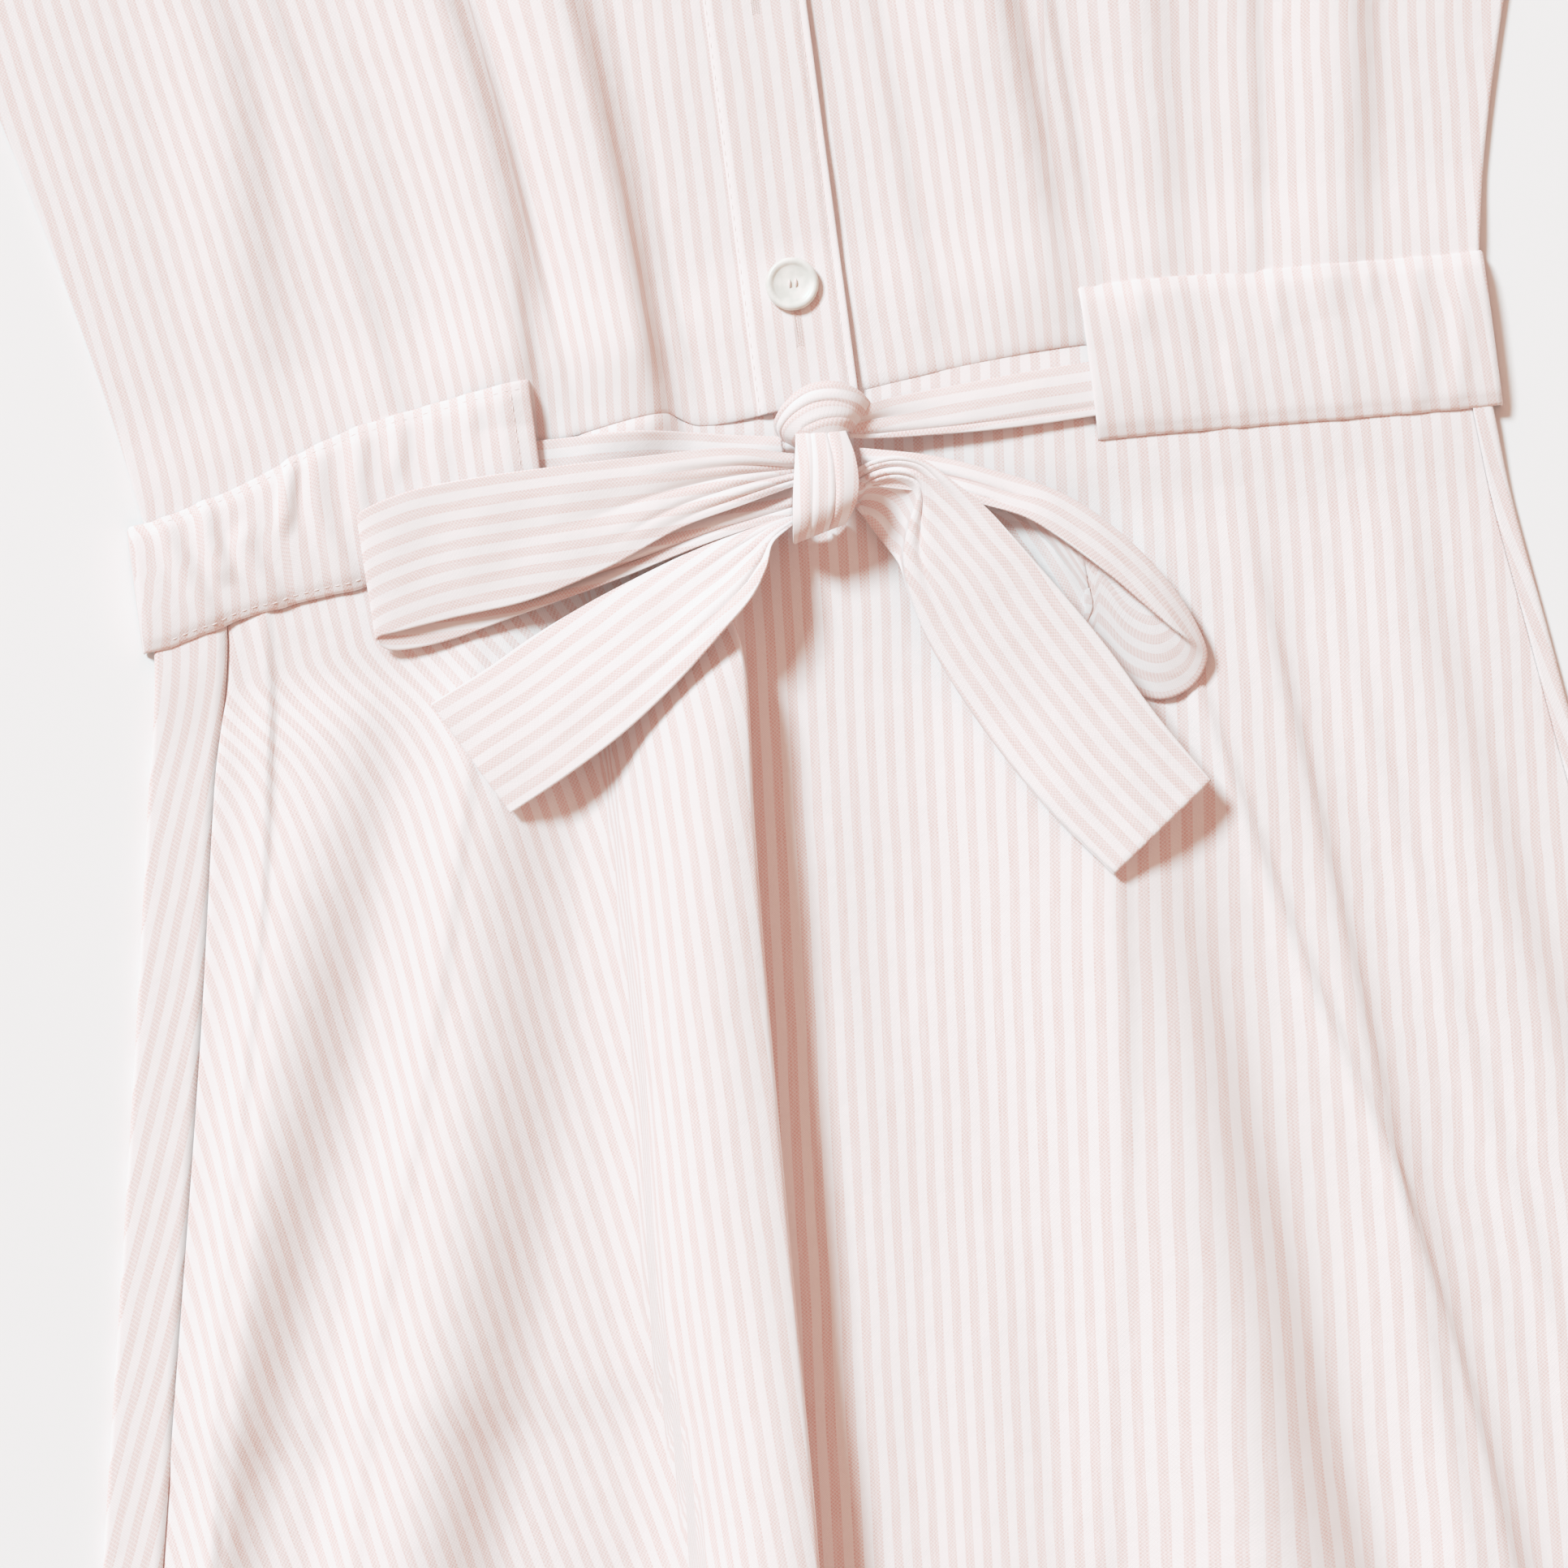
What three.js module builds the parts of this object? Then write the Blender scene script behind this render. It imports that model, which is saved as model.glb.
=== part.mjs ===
// A striped cotton shirt dress, laid flat on a table with its tie bow at the waist.
// Millimetres. +X is the picture's right (the wearer's left), +Y runs to the collar, +Z is up
// from the table. The drawing's zero is the waist seam at the centre front; the finished group
// is moved so that the row's zero lies under the middle of the laid dress.
import * as THREE from 'three';

// Cloth walls and the space between pieces that touch
const CLOTH = 1.2;
const TIE_WALL = 1.4;
const FOLDED_TIE_WALL = 2.2;
const GAP = 0.3;
const LAYER = CLOTH + GAP;
const SEAM_HALF = 0.4;

// Lengths from the waist seam
const SKIRT_LENGTH = 680;
const UNDERARM = 205;
const SHOULDER_TIP = { x: 195, y: 375 };
const NECK_POINT = { x: 75, y: 405 };
const FRONT_NECK_Y = 332;
const BACK_NECK_Y = 392;

// Front opening
const BAND_LEFT = -13.4;
const BAND_RIGHT = 13;
const UNDERLAP_X = -11;
const BUTTON_X = -0.8;
const BUTTON_SHANK = 0.8;
const BUTTON = { radius: 7.1, thick: 2.4, rim: 0.9, well: 2.6, first: 32, pitch: 88, count: 4, facets: 14 };

// Channel that the tie runs in
const CHANNEL_HALF = 21;
const CHANNEL_ARCH = 3.9;
const STEP_FADE = 24;

// Place of the drawing's zero in the row's frame
const MIDDLE_X = 0;
const MIDDLE_Y = -123.96;

// Side seams and outline of the laid dress, up from the hem
const SKIRT_SIDES = [
  { y: -680, edgeLeft: -306, seamLeft: -292, seamRight: 296, edgeRight: 301 },
  { y: -300, edgeLeft: -232, seamLeft: -216, seamRight: 222, edgeRight: 227 },
  { y: -153, edgeLeft: -203, seamLeft: -185.5, seamRight: 192, edgeRight: 197 },
  { y: -82, edgeLeft: -190, seamLeft: -172, seamRight: 182, edgeRight: 187 },
  { y: -42, edgeLeft: -183, seamLeft: -163, seamRight: 177, edgeRight: 182 },
  { y: 30, edgeLeft: -182, seamLeft: -166, seamRight: 172, edgeRight: 178 },
];
const BODICE_SIDES = [
  { y: -30, half: 178 },
  { y: 0, half: 178 },
  { y: 50, half: 187 },
  { y: 127, half: 210 },
  { y: 200, half: 233 },
  { y: 212, half: 228 },
  { y: 250, half: 206 },
  { y: 310, half: 195 },
  { y: 405, half: 195 },
];

// The waist seam dips to the picture's left, where the channel is drawn up
const WAIST_LINE = [
  { x: -182, y: -26, channel: -28 },
  { x: -155, y: -21, channel: -21 },
  { x: -120, y: -13, channel: -13 },
  { x: -74, y: -4, channel: -7 },
  { x: -41, y: 0.5, channel: -6 },
  { x: -30, y: -4, channel: -5 },
  { x: -9, y: -3, channel: -4 },
  { x: 16, y: 0, channel: -3 },
  { x: 45, y: 3, channel: -2 },
  { x: 75, y: 4, channel: -1 },
  { x: 150, y: -3, channel: -4.5 },
  { x: 182, y: -6, channel: -6 },
];

// Folds of the skirt front. crest and rise are read at FOLD_Y; left and right are the two
// half widths; lean pushes the crest sideways by so many millimetres for each one of rise.
const FOLD_Y = [-680, -310, -240, -170, -110, -66, -38];
const SKIRT_FOLDS = [
  { name: 'pocket', crest: [-278, -222, -207, -188, -173, -162, -158], rise: [5, 4, 4, 3, 2, 1, 0],
    left: 16, right: 12, lean: 0.6 },
  { name: 'side', crest: [-240, -212, -192, -168, -150, -135, -126], rise: [9, 8, 7, 6, 5, 2, 0],
    left: 24, right: 15, lean: 0.7 },
  { name: 'hip', crest: [-172, -148, -130, -112, -103, -96, -92], rise: [11, 9, 8, 7, 6, 3, 0],
    left: 28, right: 18, lean: 0.7 },
  { name: 'inner', crest: [-100, -66, -66, -62, -60, -58, -56], rise: [6, 5, 5, 4.5, 4, 2, 0],
    left: 11, right: 22, lean: -0.3 },
  { name: 'deep', crest: [-78, -53, -48, -43, -41, -39, -36], rise: [18, 16, 15, 13.5, 12, 7, 0],
    left: 34, right: 12, lean: 0.9 },
  { name: 'floor', crest: [30, 12, 16, 22, 26, 30, 32], rise: [3, 3, 3, 3, 2.5, 1, 0],
    left: 36, right: 44, lean: 0 },
  { name: 'swing', crest: [108, 78, 74, 70, 68, 68, 68], rise: [12, 10, 9, 7.5, 4.5, 0.5, 0],
    left: 34, right: 20, lean: 0.7 },
  { name: 'outer', crest: [190, 132, 122, 113, 106, 102, 100], rise: [9, 6, 5, 4, 3.5, 2, 0],
    left: 30, right: 20, lean: 0.6 },
  { name: 'far', crest: [255, 190, 178, 164, 154, 148, 146], rise: [8, 5, 4, 4, 3, 2, 0],
    left: 26, right: 18, lean: 0.5 },
];

// Folds of the bodice front, read at BODICE_FOLD_Y
const BODICE_FOLD_Y = [2, 20, 60, 115, 200, 330];
const RIGHT_FRONT_FOLDS = [
  { name: 'chest', crest: [-80, -82, -83, -95, -120, -150], rise: [0, 4.5, 5.5, 5, 4, 0],
    left: 22, right: 11, lean: 0.6 },
  { name: 'centre', crest: [-50, -53, -56, -64, -82, -105], rise: [3, 6, 5.5, 5, 3, 0],
    left: 22, right: 13, lean: 0.7 },
  { name: 'flank', crest: [-142, -146, -156, -164, -182, -190], rise: [0, 0.5, 3, 3, 2.5, 0],
    left: 20, right: 16, lean: 0.5 },
];
const LEFT_FRONT_FOLDS = [
  { name: 'bust', crest: [64, 62, 58, 52, 60, 90], rise: [0, 2.5, 4, 4.5, 4, 0],
    left: 26, right: 14, lean: 0.7 },
  { name: 'middle', crest: [92, 94, 98, 102, 120, 140], rise: [0, 1.5, 2, 2, 2, 0],
    left: 20, right: 13, lean: 0.5 },
  { name: 'rib', crest: [140, 144, 150, 158, 176, 186], rise: [0, 2, 3, 3, 2.5, 0],
    left: 20, right: 14, lean: 0.5 },
];

// Stretches of the tie. a and b are its two edges from the knot outwards (x, y, height over
// the front); pleat is the height of the gathers across it.
const TIE_LOOP_RIGHT = [
  { a: [-6, -15.5, 8.2], b: [-7, -27, 8], pleat: 1.4 },
  { a: [-23, -11.8, 11.5], b: [-25.6, -31, 10.5], pleat: 1.2 },
  { a: [-45, -11.1, 14], b: [-43.8, -35.8, 14], pleat: 0.7 },
  { a: [-66.8, -10.6, 15], b: [-62, -40.9, 16], pleat: 0.3 },
  { a: [-88.7, -10.5, 14.5], b: [-80.2, -45.7, 15.5], pleat: 0 },
  { a: [-106.3, -11.3, 13], b: [-98.3, -49.8, 13.5], pleat: 0 },
  { a: [-117.5, -13.4, 12], b: [-111.8, -52.2, 11.8], pleat: 0 },
  { a: [-122.6, -15.6, 9.9], b: [-119.4, -52.9, 9.6], pleat: 0 },
  { a: [-119.5, -17.5, 7.7], b: [-116.6, -54, 7.4], pleat: 0 },
  { a: [-106, -19, 7.2], b: [-106, -55, 6.8], pleat: 0 },
  { a: [-80, -19, 7.6], b: [-85, -51.5, 7.6], pleat: 0 },
  { a: [-52, -18, 7.8], b: [-60, -44.8, 9], pleat: 0.3 },
  { a: [-26, -17.5, 6.2], b: [-30, -34.5, 7.4], pleat: 0.8 },
  { a: [-7, -17, 4.4], b: [-8, -27.5, 4.4], pleat: 0.8 },
];
const TIE_TAIL_RIGHT = [
  { a: [-7.5, -29.8, 1.8], b: [-7.5, -36.5, 1.8], pleat: 0.6 },
  { a: [-26, -33, 4.6], b: [-18, -47, 5.8], pleat: 1 },
  { a: [-44, -38, 6.2], b: [-28.8, -58.6, 9.6], pleat: 0.8 },
  { a: [-63, -45.4, 6.6], b: [-44.5, -72, 12], pleat: 0.4 },
  { a: [-81, -54, 6.2], b: [-61, -83.3, 12.4], pleat: 0 },
  { a: [-95.5, -61.4, 6.4], b: [-77.7, -92.5, 10.5], pleat: 0 },
  { a: [-111.1, -68.5, 6.2], b: [-93.6, -100.2, 9], pleat: 0 },
];
const TIE_LOOP_LEFT = [
  { a: [11, -17, 8], b: [11, -25.4, 7.4], pleat: 1 },
  { a: [26.5, -18.4, 9.6], b: [25, -32, 8.2], pleat: 0.9 },
  { a: [41.3, -22.6, 11], b: [37, -41, 8.6], pleat: 0.5 },
  { a: [53.9, -30, 12], b: [46, -54, 9], pleat: 0.2 },
  { a: [65.2, -40.3, 12.4], b: [55, -65, 9.4], pleat: 0 },
  { a: [76.8, -52.4, 12], b: [64, -76, 9.4], pleat: 0 },
  { a: [87.9, -68.1, 10.4], b: [73, -86.5, 8.6], pleat: 0 },
  { a: [93.6, -77.6, 7.8], b: [79, -92, 6.6], pleat: 0 },
  { a: [91, -77.4, 5], b: [76.5, -91, 4.2], pleat: 0 },
  { a: [82, -66, 4], b: [67, -82, 3.6], pleat: 0 },
  { a: [62, -46, 4], b: [50, -64, 3.6], pleat: 0 },
  { a: [36, -28, 3.8], b: [31, -43, 3.4], pleat: 0.3 },
  { a: [12, -18, 3.6], b: [12, -26, 3.2], pleat: 0.5 },
];
const TIE_TAIL_LEFT = [
  { a: [11, -26.5, 11.4], b: [11, -34, 5], pleat: 0.4 },
  { a: [22, -22.5, 13.6], b: [16, -38, 6.2], pleat: 0.9 },
  { a: [33, -27, 15.2], b: [18.4, -50, 6.8], pleat: 0.6 },
  { a: [41.3, -38.8, 16.2], b: [20.6, -63, 6.6], pleat: 0.2 },
  { a: [52.4, -54.6, 16.8], b: [28, -80.9, 6.2], pleat: 0 },
  { a: [65, -74.9, 16], b: [37.6, -99.8, 6.4], pleat: 0 },
  { a: [77.7, -95.2, 12.6], b: [50.2, -120.1, 6.8], pleat: 0 },
  { a: [91.3, -116.1, 10], b: [63.3, -136.8, 7.4], pleat: 0 },
];
const TIE_RUN_RIGHT = [
  { a: [-11, -12.6, 0.8], b: [-11, -22, 0.8], pleat: 0.3 },
  { a: [-34, -7.4, 0.8], b: [-34, -26, 0.8], pleat: 0.2 },
  { a: [-62, -3.4, 0.8], b: [-62, -26, 0.8], pleat: 0 },
  { a: [-84, -4.4, 0.8], b: [-84, -24, 0.8], pleat: 0 },
];
const TIE_RUN_LEFT = [
  { a: [20.5, -3.6, 1.15], b: [20.5, -14.6, 1.15], pleat: 0 },
  { a: [48.4, -1.9, 1.15], b: [46.6, -15.6, 1.15], pleat: 0 },
  { a: [66.1, -1.1, 1.15], b: [64.2, -15.6, 1.15], pleat: 0 },
  { a: [90, -0.6, 1.15], b: [90, -15, 1.15], pleat: 0 },
];
const KNOT_WRAP = [
  { a: [-7.4, -11.4, 3.4], b: [8.6, -11, 3.4], pleat: 0 },
  { a: [-8.2, -10.4, 8], b: [9.6, -9.8, 8], pleat: 0.3 },
  { a: [-8.4, -12.4, 12.4], b: [10, -11.6, 12.8], pleat: 0.5 },
  { a: [-8.6, -19, 15.4], b: [10, -18, 15.8], pleat: 0.6 },
  { a: [-9.2, -27.6, 15.6], b: [9.4, -26.4, 16], pleat: 0.6 },
  { a: [-10, -35.4, 12.6], b: [7.6, -34.2, 13], pleat: 0.5 },
  { a: [-9.8, -39.6, 7.6], b: [6.8, -38.4, 8], pleat: 0.3 },
  { a: [-9, -39, 3.6], b: [6.4, -37.8, 3.6], pleat: 0 },
];
const KNOT_OVER = [
  { a: [-11.6, -4, 1.05], b: [-10.6, -8.6, 1.05], pleat: 0 },
  { a: [-10.8, -0.6, 7.6], b: [-10, -8.2, 8.2], pleat: 0.3 },
  { a: [-4.6, 1.6, 10.8], b: [-4.2, -7.4, 12.8], pleat: 0.5 },
  { a: [5, 2.4, 11.6], b: [4.6, -6.8, 13.8], pleat: 0.5 },
  { a: [13, 0, 10], b: [12.6, -7, 11.8], pleat: 0.3 },
  { a: [17.6, -3, 7.4], b: [17, -8.2, 8.4], pleat: 0 },
  { a: [17.8, -3.6, 1.05], b: [17, -8.6, 1.05], pleat: 0 },
];

// Sleeve: its two folds at the armhole and the ends of its hem
const SLEEVE = { armTop: 372, armUnder: 205, hemTop: [372, 282], hemUnder: [318, 138], ease: 3.2, half: 2.7 };

// Collar round the neck
const NECK = { x: 66, y: 368, front: 40, back: 30 };
const STAND_HEIGHT = 24;
const COLLAR_FOLD = 2.2;
const COLLAR_SEAM = 1.1;
const COLLAR_BACK = 38;
const COLLAR_POINT = 66;
const COLLAR_SPREAD = 0.45;
const STAND_OPEN = 0.1;
const COLLAR_OPEN = 0.2;

// Pocket in the wearer's right side seam
const POCKET = { top: -77, bottom: -248, mouthTop: -78, mouthBottom: -230, depth: 118 };

const PINK = 0xf0dcd7;
const CREAM = 0xece8e4;

const lerp = (from, to, t) => from + (to - from) * t;
const clamp = (value, low, high) => Math.min(Math.max(value, low), high);
const soft = (t) => {
  const k = clamp(t, 0, 1);
  return k * k * (3 - 2 * k);
};

// Smooth line through values at rising stations: a cubic in each span, with the mean slope
// of the two neighbouring spans at its ends. Outside the stations it keeps its end values.
function curve(stations, values, at) {
  const last = stations.length - 1;
  if (at <= stations[0]) return values[0];
  if (at >= stations[last]) return values[last];
  let i = 0;
  while (at > stations[i + 1]) i += 1;
  const span = stations[i + 1] - stations[i];
  const slope = (k) => {
    const low = Math.max(k - 1, 0);
    const high = Math.min(k + 1, last);
    return (values[high] - values[low]) / (stations[high] - stations[low]);
  };
  const t = (at - stations[i]) / span;
  const t2 = t * t;
  const t3 = t2 * t;
  return values[i] * (2 * t3 - 3 * t2 + 1) + slope(i) * span * (t3 - 2 * t2 + t)
    + values[i + 1] * (3 * t2 - 2 * t3) + slope(i + 1) * span * (t3 - t2);
}

function reader(rows, key, column) {
  const stations = rows.map((row) => row[key]);
  const values = rows.map((row) => row[column]);
  return (at) => curve(stations, values, at);
}

const edgeLeft = reader(SKIRT_SIDES, 'y', 'edgeLeft');
const seamLeft = reader(SKIRT_SIDES, 'y', 'seamLeft');
const seamRight = reader(SKIRT_SIDES, 'y', 'seamRight');
const edgeRight = reader(SKIRT_SIDES, 'y', 'edgeRight');
const bodiceHalf = reader(BODICE_SIDES, 'y', 'half');
const waistY = reader(WAIST_LINE, 'x', 'y');
const channelY = reader(WAIST_LINE, 'x', 'channel');

// Rows near the waist follow the waist seam and straighten out within this distance
const SEAM_FADE = 150;
const nearWaist = (y) => soft(1 - Math.abs(y) / SEAM_FADE);
const frontRow = (x, y) => y + waistY(x) * nearWaist(y);
const backRow = (x, y) => y + channelY(x) * nearWaist(y);

// The back rises over the channel that lies under it
function backRise(x, y) {
  const away = Math.abs(y - channelY(x)) - CHANNEL_HALF - 1;
  return LAYER * soft(1 - away / STEP_FADE);
}

// The front rises over the pocket bag
function pocketRise(x, y) {
  const up = soft((POCKET.top + 22 - y) / 20) * soft((y - POCKET.bottom + 22) / 20);
  return LAYER * up * soft((seamLeft(y) + POCKET.depth + 24 - x) / 20);
}

// Soft air between front and back, none at the waist and at the sides
const PUFF = 2;
function puff(x, y, half) {
  const across = 1 - (x / half) ** 4;
  return PUFF * clamp(across, 0, 1) * soft((Math.abs(y) - 30) / 90);
}

// Underside of the front, without its folds
function frontLevel(x, y, half) {
  return LAYER + backRise(x, y) + puff(x, y, half) + pocketRise(x, y);
}

// Sum of the folds at one place: how far they push the cloth sideways and up
function foldAt(folds, stations, x, y) {
  let push = 0;
  let rise = 0;
  for (const fold of folds) {
    const away = x - curve(stations, fold.crest, y);
    const reach = away < 0 ? fold.left : fold.right;
    if (Math.abs(away) < reach) {
      const hump = Math.cos((away / reach) * Math.PI / 2) ** 2;
      const high = curve(stations, fold.rise, y) * hump;
      rise += high;
      push += high * fold.lean;
    }
  }
  return { push, rise };
}

// Closed wall of cloth about the middle surface place(u, v); u and v run over the given
// fractions. A round wall closes on itself in u.
function clothWall(us, vs, wall, place, round = false) {
  const columns = us.length;
  const rows = vs.length;
  const grid = us.map((u) => vs.map((v) => place(u, v)));
  const at = (i, j) => grid[round ? (i + columns) % columns : clamp(i, 0, columns - 1)][j];
  const corners = [];
  for (const side of [1, -1]) {
    for (let i = 0; i < columns; i += 1) {
      for (let j = 0; j < rows; j += 1) {
        const along = at(i + 1, j).clone().sub(at(i - 1, j));
        const down = grid[i][Math.min(j + 1, rows - 1)].clone().sub(grid[i][Math.max(j - 1, 0)]);
        const out = along.cross(down).normalize();
        corners.push(grid[i][j].clone().addScaledVector(out, side * wall / 2));
      }
    }
  }
  const index = [];
  const half = columns * rows;
  const id = (side, i, j) => side * half + ((i + columns) % columns) * rows + j;
  const quad = (p, q, r, s) => index.push(p, q, r, p, r, s);
  const spans = round ? columns : columns - 1;
  for (let i = 0; i < spans; i += 1) {
    for (let j = 0; j < rows - 1; j += 1) {
      quad(id(0, i, j), id(0, i + 1, j), id(0, i + 1, j + 1), id(0, i, j + 1));
      quad(id(1, i, j + 1), id(1, i + 1, j + 1), id(1, i + 1, j), id(1, i, j));
    }
    quad(id(1, i, 0), id(1, i + 1, 0), id(0, i + 1, 0), id(0, i, 0));
    quad(id(0, i, rows - 1), id(0, i + 1, rows - 1), id(1, i + 1, rows - 1), id(1, i, rows - 1));
  }
  if (!round) {
    for (let j = 0; j < rows - 1; j += 1) {
      quad(id(0, 0, j), id(0, 0, j + 1), id(1, 0, j + 1), id(1, 0, j));
      quad(id(1, columns - 1, j), id(1, columns - 1, j + 1), id(0, columns - 1, j + 1), id(0, columns - 1, j));
    }
  }
  const geometry = new THREE.BufferGeometry();
  geometry.setAttribute('position', new THREE.Float32BufferAttribute(corners.flatMap((p) => [p.x, p.y, p.z]), 3));
  geometry.setIndex(index);
  geometry.computeVertexNormals();
  return geometry;
}

// Even fractions from 0 to 1, and fractions shared out over spans with counts of their own
const even = (count) => Array.from({ length: count + 1 }, (_, i) => i / count);
function shared(counts) {
  const fractions = [0];
  counts.forEach((count, span) => {
    for (let i = 1; i <= count; i += 1) fractions.push((span + i / count) / counts.length);
  });
  return fractions;
}
// Position within a row of stops, for fractions made by shared()
function between(stops, u) {
  const spans = stops.length - 1;
  const span = Math.min(Math.floor(u * spans), spans - 1);
  return lerp(stops[span], stops[span + 1], u * spans - span);
}

const dress = new THREE.Group();
dress.position.set(-MIDDLE_X, -MIDDLE_Y, 0);

function addPiece(name, geometry, colour = PINK, roughness = 0.85) {
  const material = new THREE.MeshStandardMaterial({ color: colour, roughness, metalness: 0 });
  const mesh = new THREE.Mesh(geometry, material);
  mesh.name = name;
  dress.add(mesh);
  return mesh;
}

const mid = CLOTH / 2;

// Skirt front: from side seam to side seam, with the deep fold's drop as a span of its own
const LEFT_SIDE_X = -170;
const RIGHT_SIDE_X = 175;
const deepFold = SKIRT_FOLDS.find((fold) => fold.name === 'deep');
function skirtFrontPoint(u, v) {
  const y = -SEAM_HALF - v * (SKIRT_LENGTH - SEAM_HALF);
  const left = seamLeft(frontRow(LEFT_SIDE_X, y));
  const right = seamRight(frontRow(RIGHT_SIDE_X, y));
  const crest = curve(FOLD_Y, deepFold.crest, y);
  const x = between([left, crest, crest + deepFold.right, right], u);
  const down = frontRow(x, y);
  const { push, rise } = foldAt(SKIRT_FOLDS, FOLD_Y, x, down);
  const edge = soft(Math.min(x - left, right - x) / 18);
  const level = frontLevel(x, down, right) + rise * edge;
  return new THREE.Vector3(x + push * edge, down, level + mid);
}

// A back panel with its edges turned round onto the front as far as the seams
const TURN_RADIUS = LAYER / 2;
function turnedBack(left, seamAtLeft, right, seamAtRight, low, u) {
  const part = u * 5;
  const high = low + 2 * TURN_RADIUS;
  if (part < 1) return [lerp(seamAtLeft, left, part), high];
  if (part < 2) {
    const angle = (part - 1) * Math.PI;
    return [left - TURN_RADIUS * Math.sin(angle), low + TURN_RADIUS * (1 + Math.cos(angle))];
  }
  if (part < 3) return [lerp(left, right, part - 2), low];
  if (part < 4) {
    const angle = (part - 3) * Math.PI;
    return [right + TURN_RADIUS * Math.sin(angle), low + TURN_RADIUS * (1 - Math.cos(angle))];
  }
  return [lerp(right, seamAtRight, part - 4), high];
}
function skirtBackPoint(u, v) {
  const y = -SEAM_HALF - v * (SKIRT_LENGTH - SEAM_HALF);
  const leftY = backRow(LEFT_SIDE_X, y);
  const rightY = backRow(RIGHT_SIDE_X, y);
  const [x, z] = turnedBack(edgeLeft(leftY) + TURN_RADIUS, seamLeft(leftY) - GAP,
    edgeRight(rightY) - TURN_RADIUS, seamRight(rightY) + GAP, mid, u);
  const down = backRow(x, y);
  return new THREE.Vector3(x, down, z + backRise(x, down));
}

// Top edge of the bodice: shoulder line, then the neckline
function bodiceTop(x, neckY) {
  const side = Math.abs(x);
  if (side > NECK_POINT.x) {
    const t = (side - NECK_POINT.x) / (SHOULDER_TIP.x - NECK_POINT.x);
    return lerp(NECK_POINT.y, SHOULDER_TIP.y, clamp(t, 0, 1));
  }
  const round = Math.sqrt(1 - (side / (NECK_POINT.x + 2)) ** 2);
  return lerp(NECK_POINT.y, neckY, round);
}

function bodiceBackPoint(u, v) {
  const across = u * 2 - 1;
  const top = bodiceTop(across * SHOULDER_TIP.x, BACK_NECK_Y);
  const y = lerp(SEAM_HALF, top, v);
  const x = across * bodiceHalf(y);
  const up = backRow(x, y);
  return new THREE.Vector3(x, up, mid + backRise(x, up));
}

// A bodice front reaches from the centre to the side, and its last strip goes out past the
// back's edge and down to the table
const WRAP = 1.8;
const WRAP_STRIP = 3;
function wrapped(flat, side, outer, over, level, low) {
  const out = clamp(over * 2, 0, 1) * (WRAP_STRIP + WRAP) - clamp(over, 0, 1) * WRAP_STRIP;
  return { x: flat + side * out, z: lerp(level, low, clamp(over * 2 - 1, 0, 1)) };
}
function bodiceFrontPoint(centreX, side, folds, lap, u, v) {
  const top = bodiceTop(lerp(centreX, side * SHOULDER_TIP.x, Math.min(u * 2, 1)), FRONT_NECK_Y);
  const y = lerp(SEAM_HALF, top, v);
  const half = bodiceHalf(y);
  const flat = between([centreX, side * (half - WRAP_STRIP), side * half], u);
  const up = frontRow(flat, y);
  const { push, rise } = foldAt(folds, BODICE_FOLD_Y, flat, up);
  const near = soft((half - Math.abs(flat)) / 18) * soft(Math.abs(flat - centreX) / 14);
  const lapped = lap * (1 - soft(Math.abs(flat - centreX) / 26));
  const level = frontLevel(flat, up, half) + rise * near + lapped;
  const { x, z } = wrapped(flat + push * near, side, half, u * 2 - 1, level, 0);
  return new THREE.Vector3(x, up, z + mid);
}

// Button band on the right front, over the left front
const BAND_EASE = 0.35;
function bandPoint(u, v) {
  const x = lerp(BAND_LEFT + GAP, BAND_RIGHT, u);
  const y = lerp(SEAM_HALF, FRONT_NECK_Y - 4, v);
  const lift = LAYER + BAND_EASE + 0.8 * soft(u * 2 - 1);
  const up = frontRow(x, y);
  return new THREE.Vector3(x, up, frontLevel(x, up, bodiceHalf(y)) + mid + lift);
}

// Upper face of the two fronts near the waist, which the channel and the tie lie on
function frontTop(x, y) {
  const skirt = foldAt(SKIRT_FOLDS, FOLD_Y, x, y).rise;
  const bodiceFolds = x < 0 ? RIGHT_FRONT_FOLDS : LEFT_FRONT_FOLDS;
  const bodice = y > waistY(x) - 4 ? foldAt(bodiceFolds, BODICE_FOLD_Y, x, y).rise : 0;
  return frontLevel(x, y, bodiceHalf(0)) + CLOTH + Math.max(skirt, bodice);
}

// Front channel: an arched strip over both panels, its last strip dropped at the side
const CHANNEL_EASE = 2.4;
function channelPoint(endX, side, u, v) {
  const outer = side < 0 ? edgeLeft(-20) : edgeRight(-20);
  const flat = between([endX, outer - side * WRAP_STRIP, outer], u);
  const across = 1 - 2 * v;
  const y = channelY(flat) + across * CHANNEL_HALF;
  const arch = CHANNEL_ARCH * (1 - Math.abs(across) ** 5) * (1 - 0.35 * soft(u * 2 - 1));
  const { x, z } = wrapped(flat, side, outer, u * 2 - 1, frontTop(flat, y) + 2 * GAP + arch, 0);
  return new THREE.Vector3(x + side * CHANNEL_EASE * clamp(u * 2 - 1, 0, 1), y, z + mid);
}
function channelBackPoint(u, v) {
  const x = lerp(edgeLeft(-20) + 4, edgeRight(-20) - 4, u);
  return new THREE.Vector3(x, channelY(x) + (1 - 2 * v) * CHANNEL_HALF, mid);
}

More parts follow.
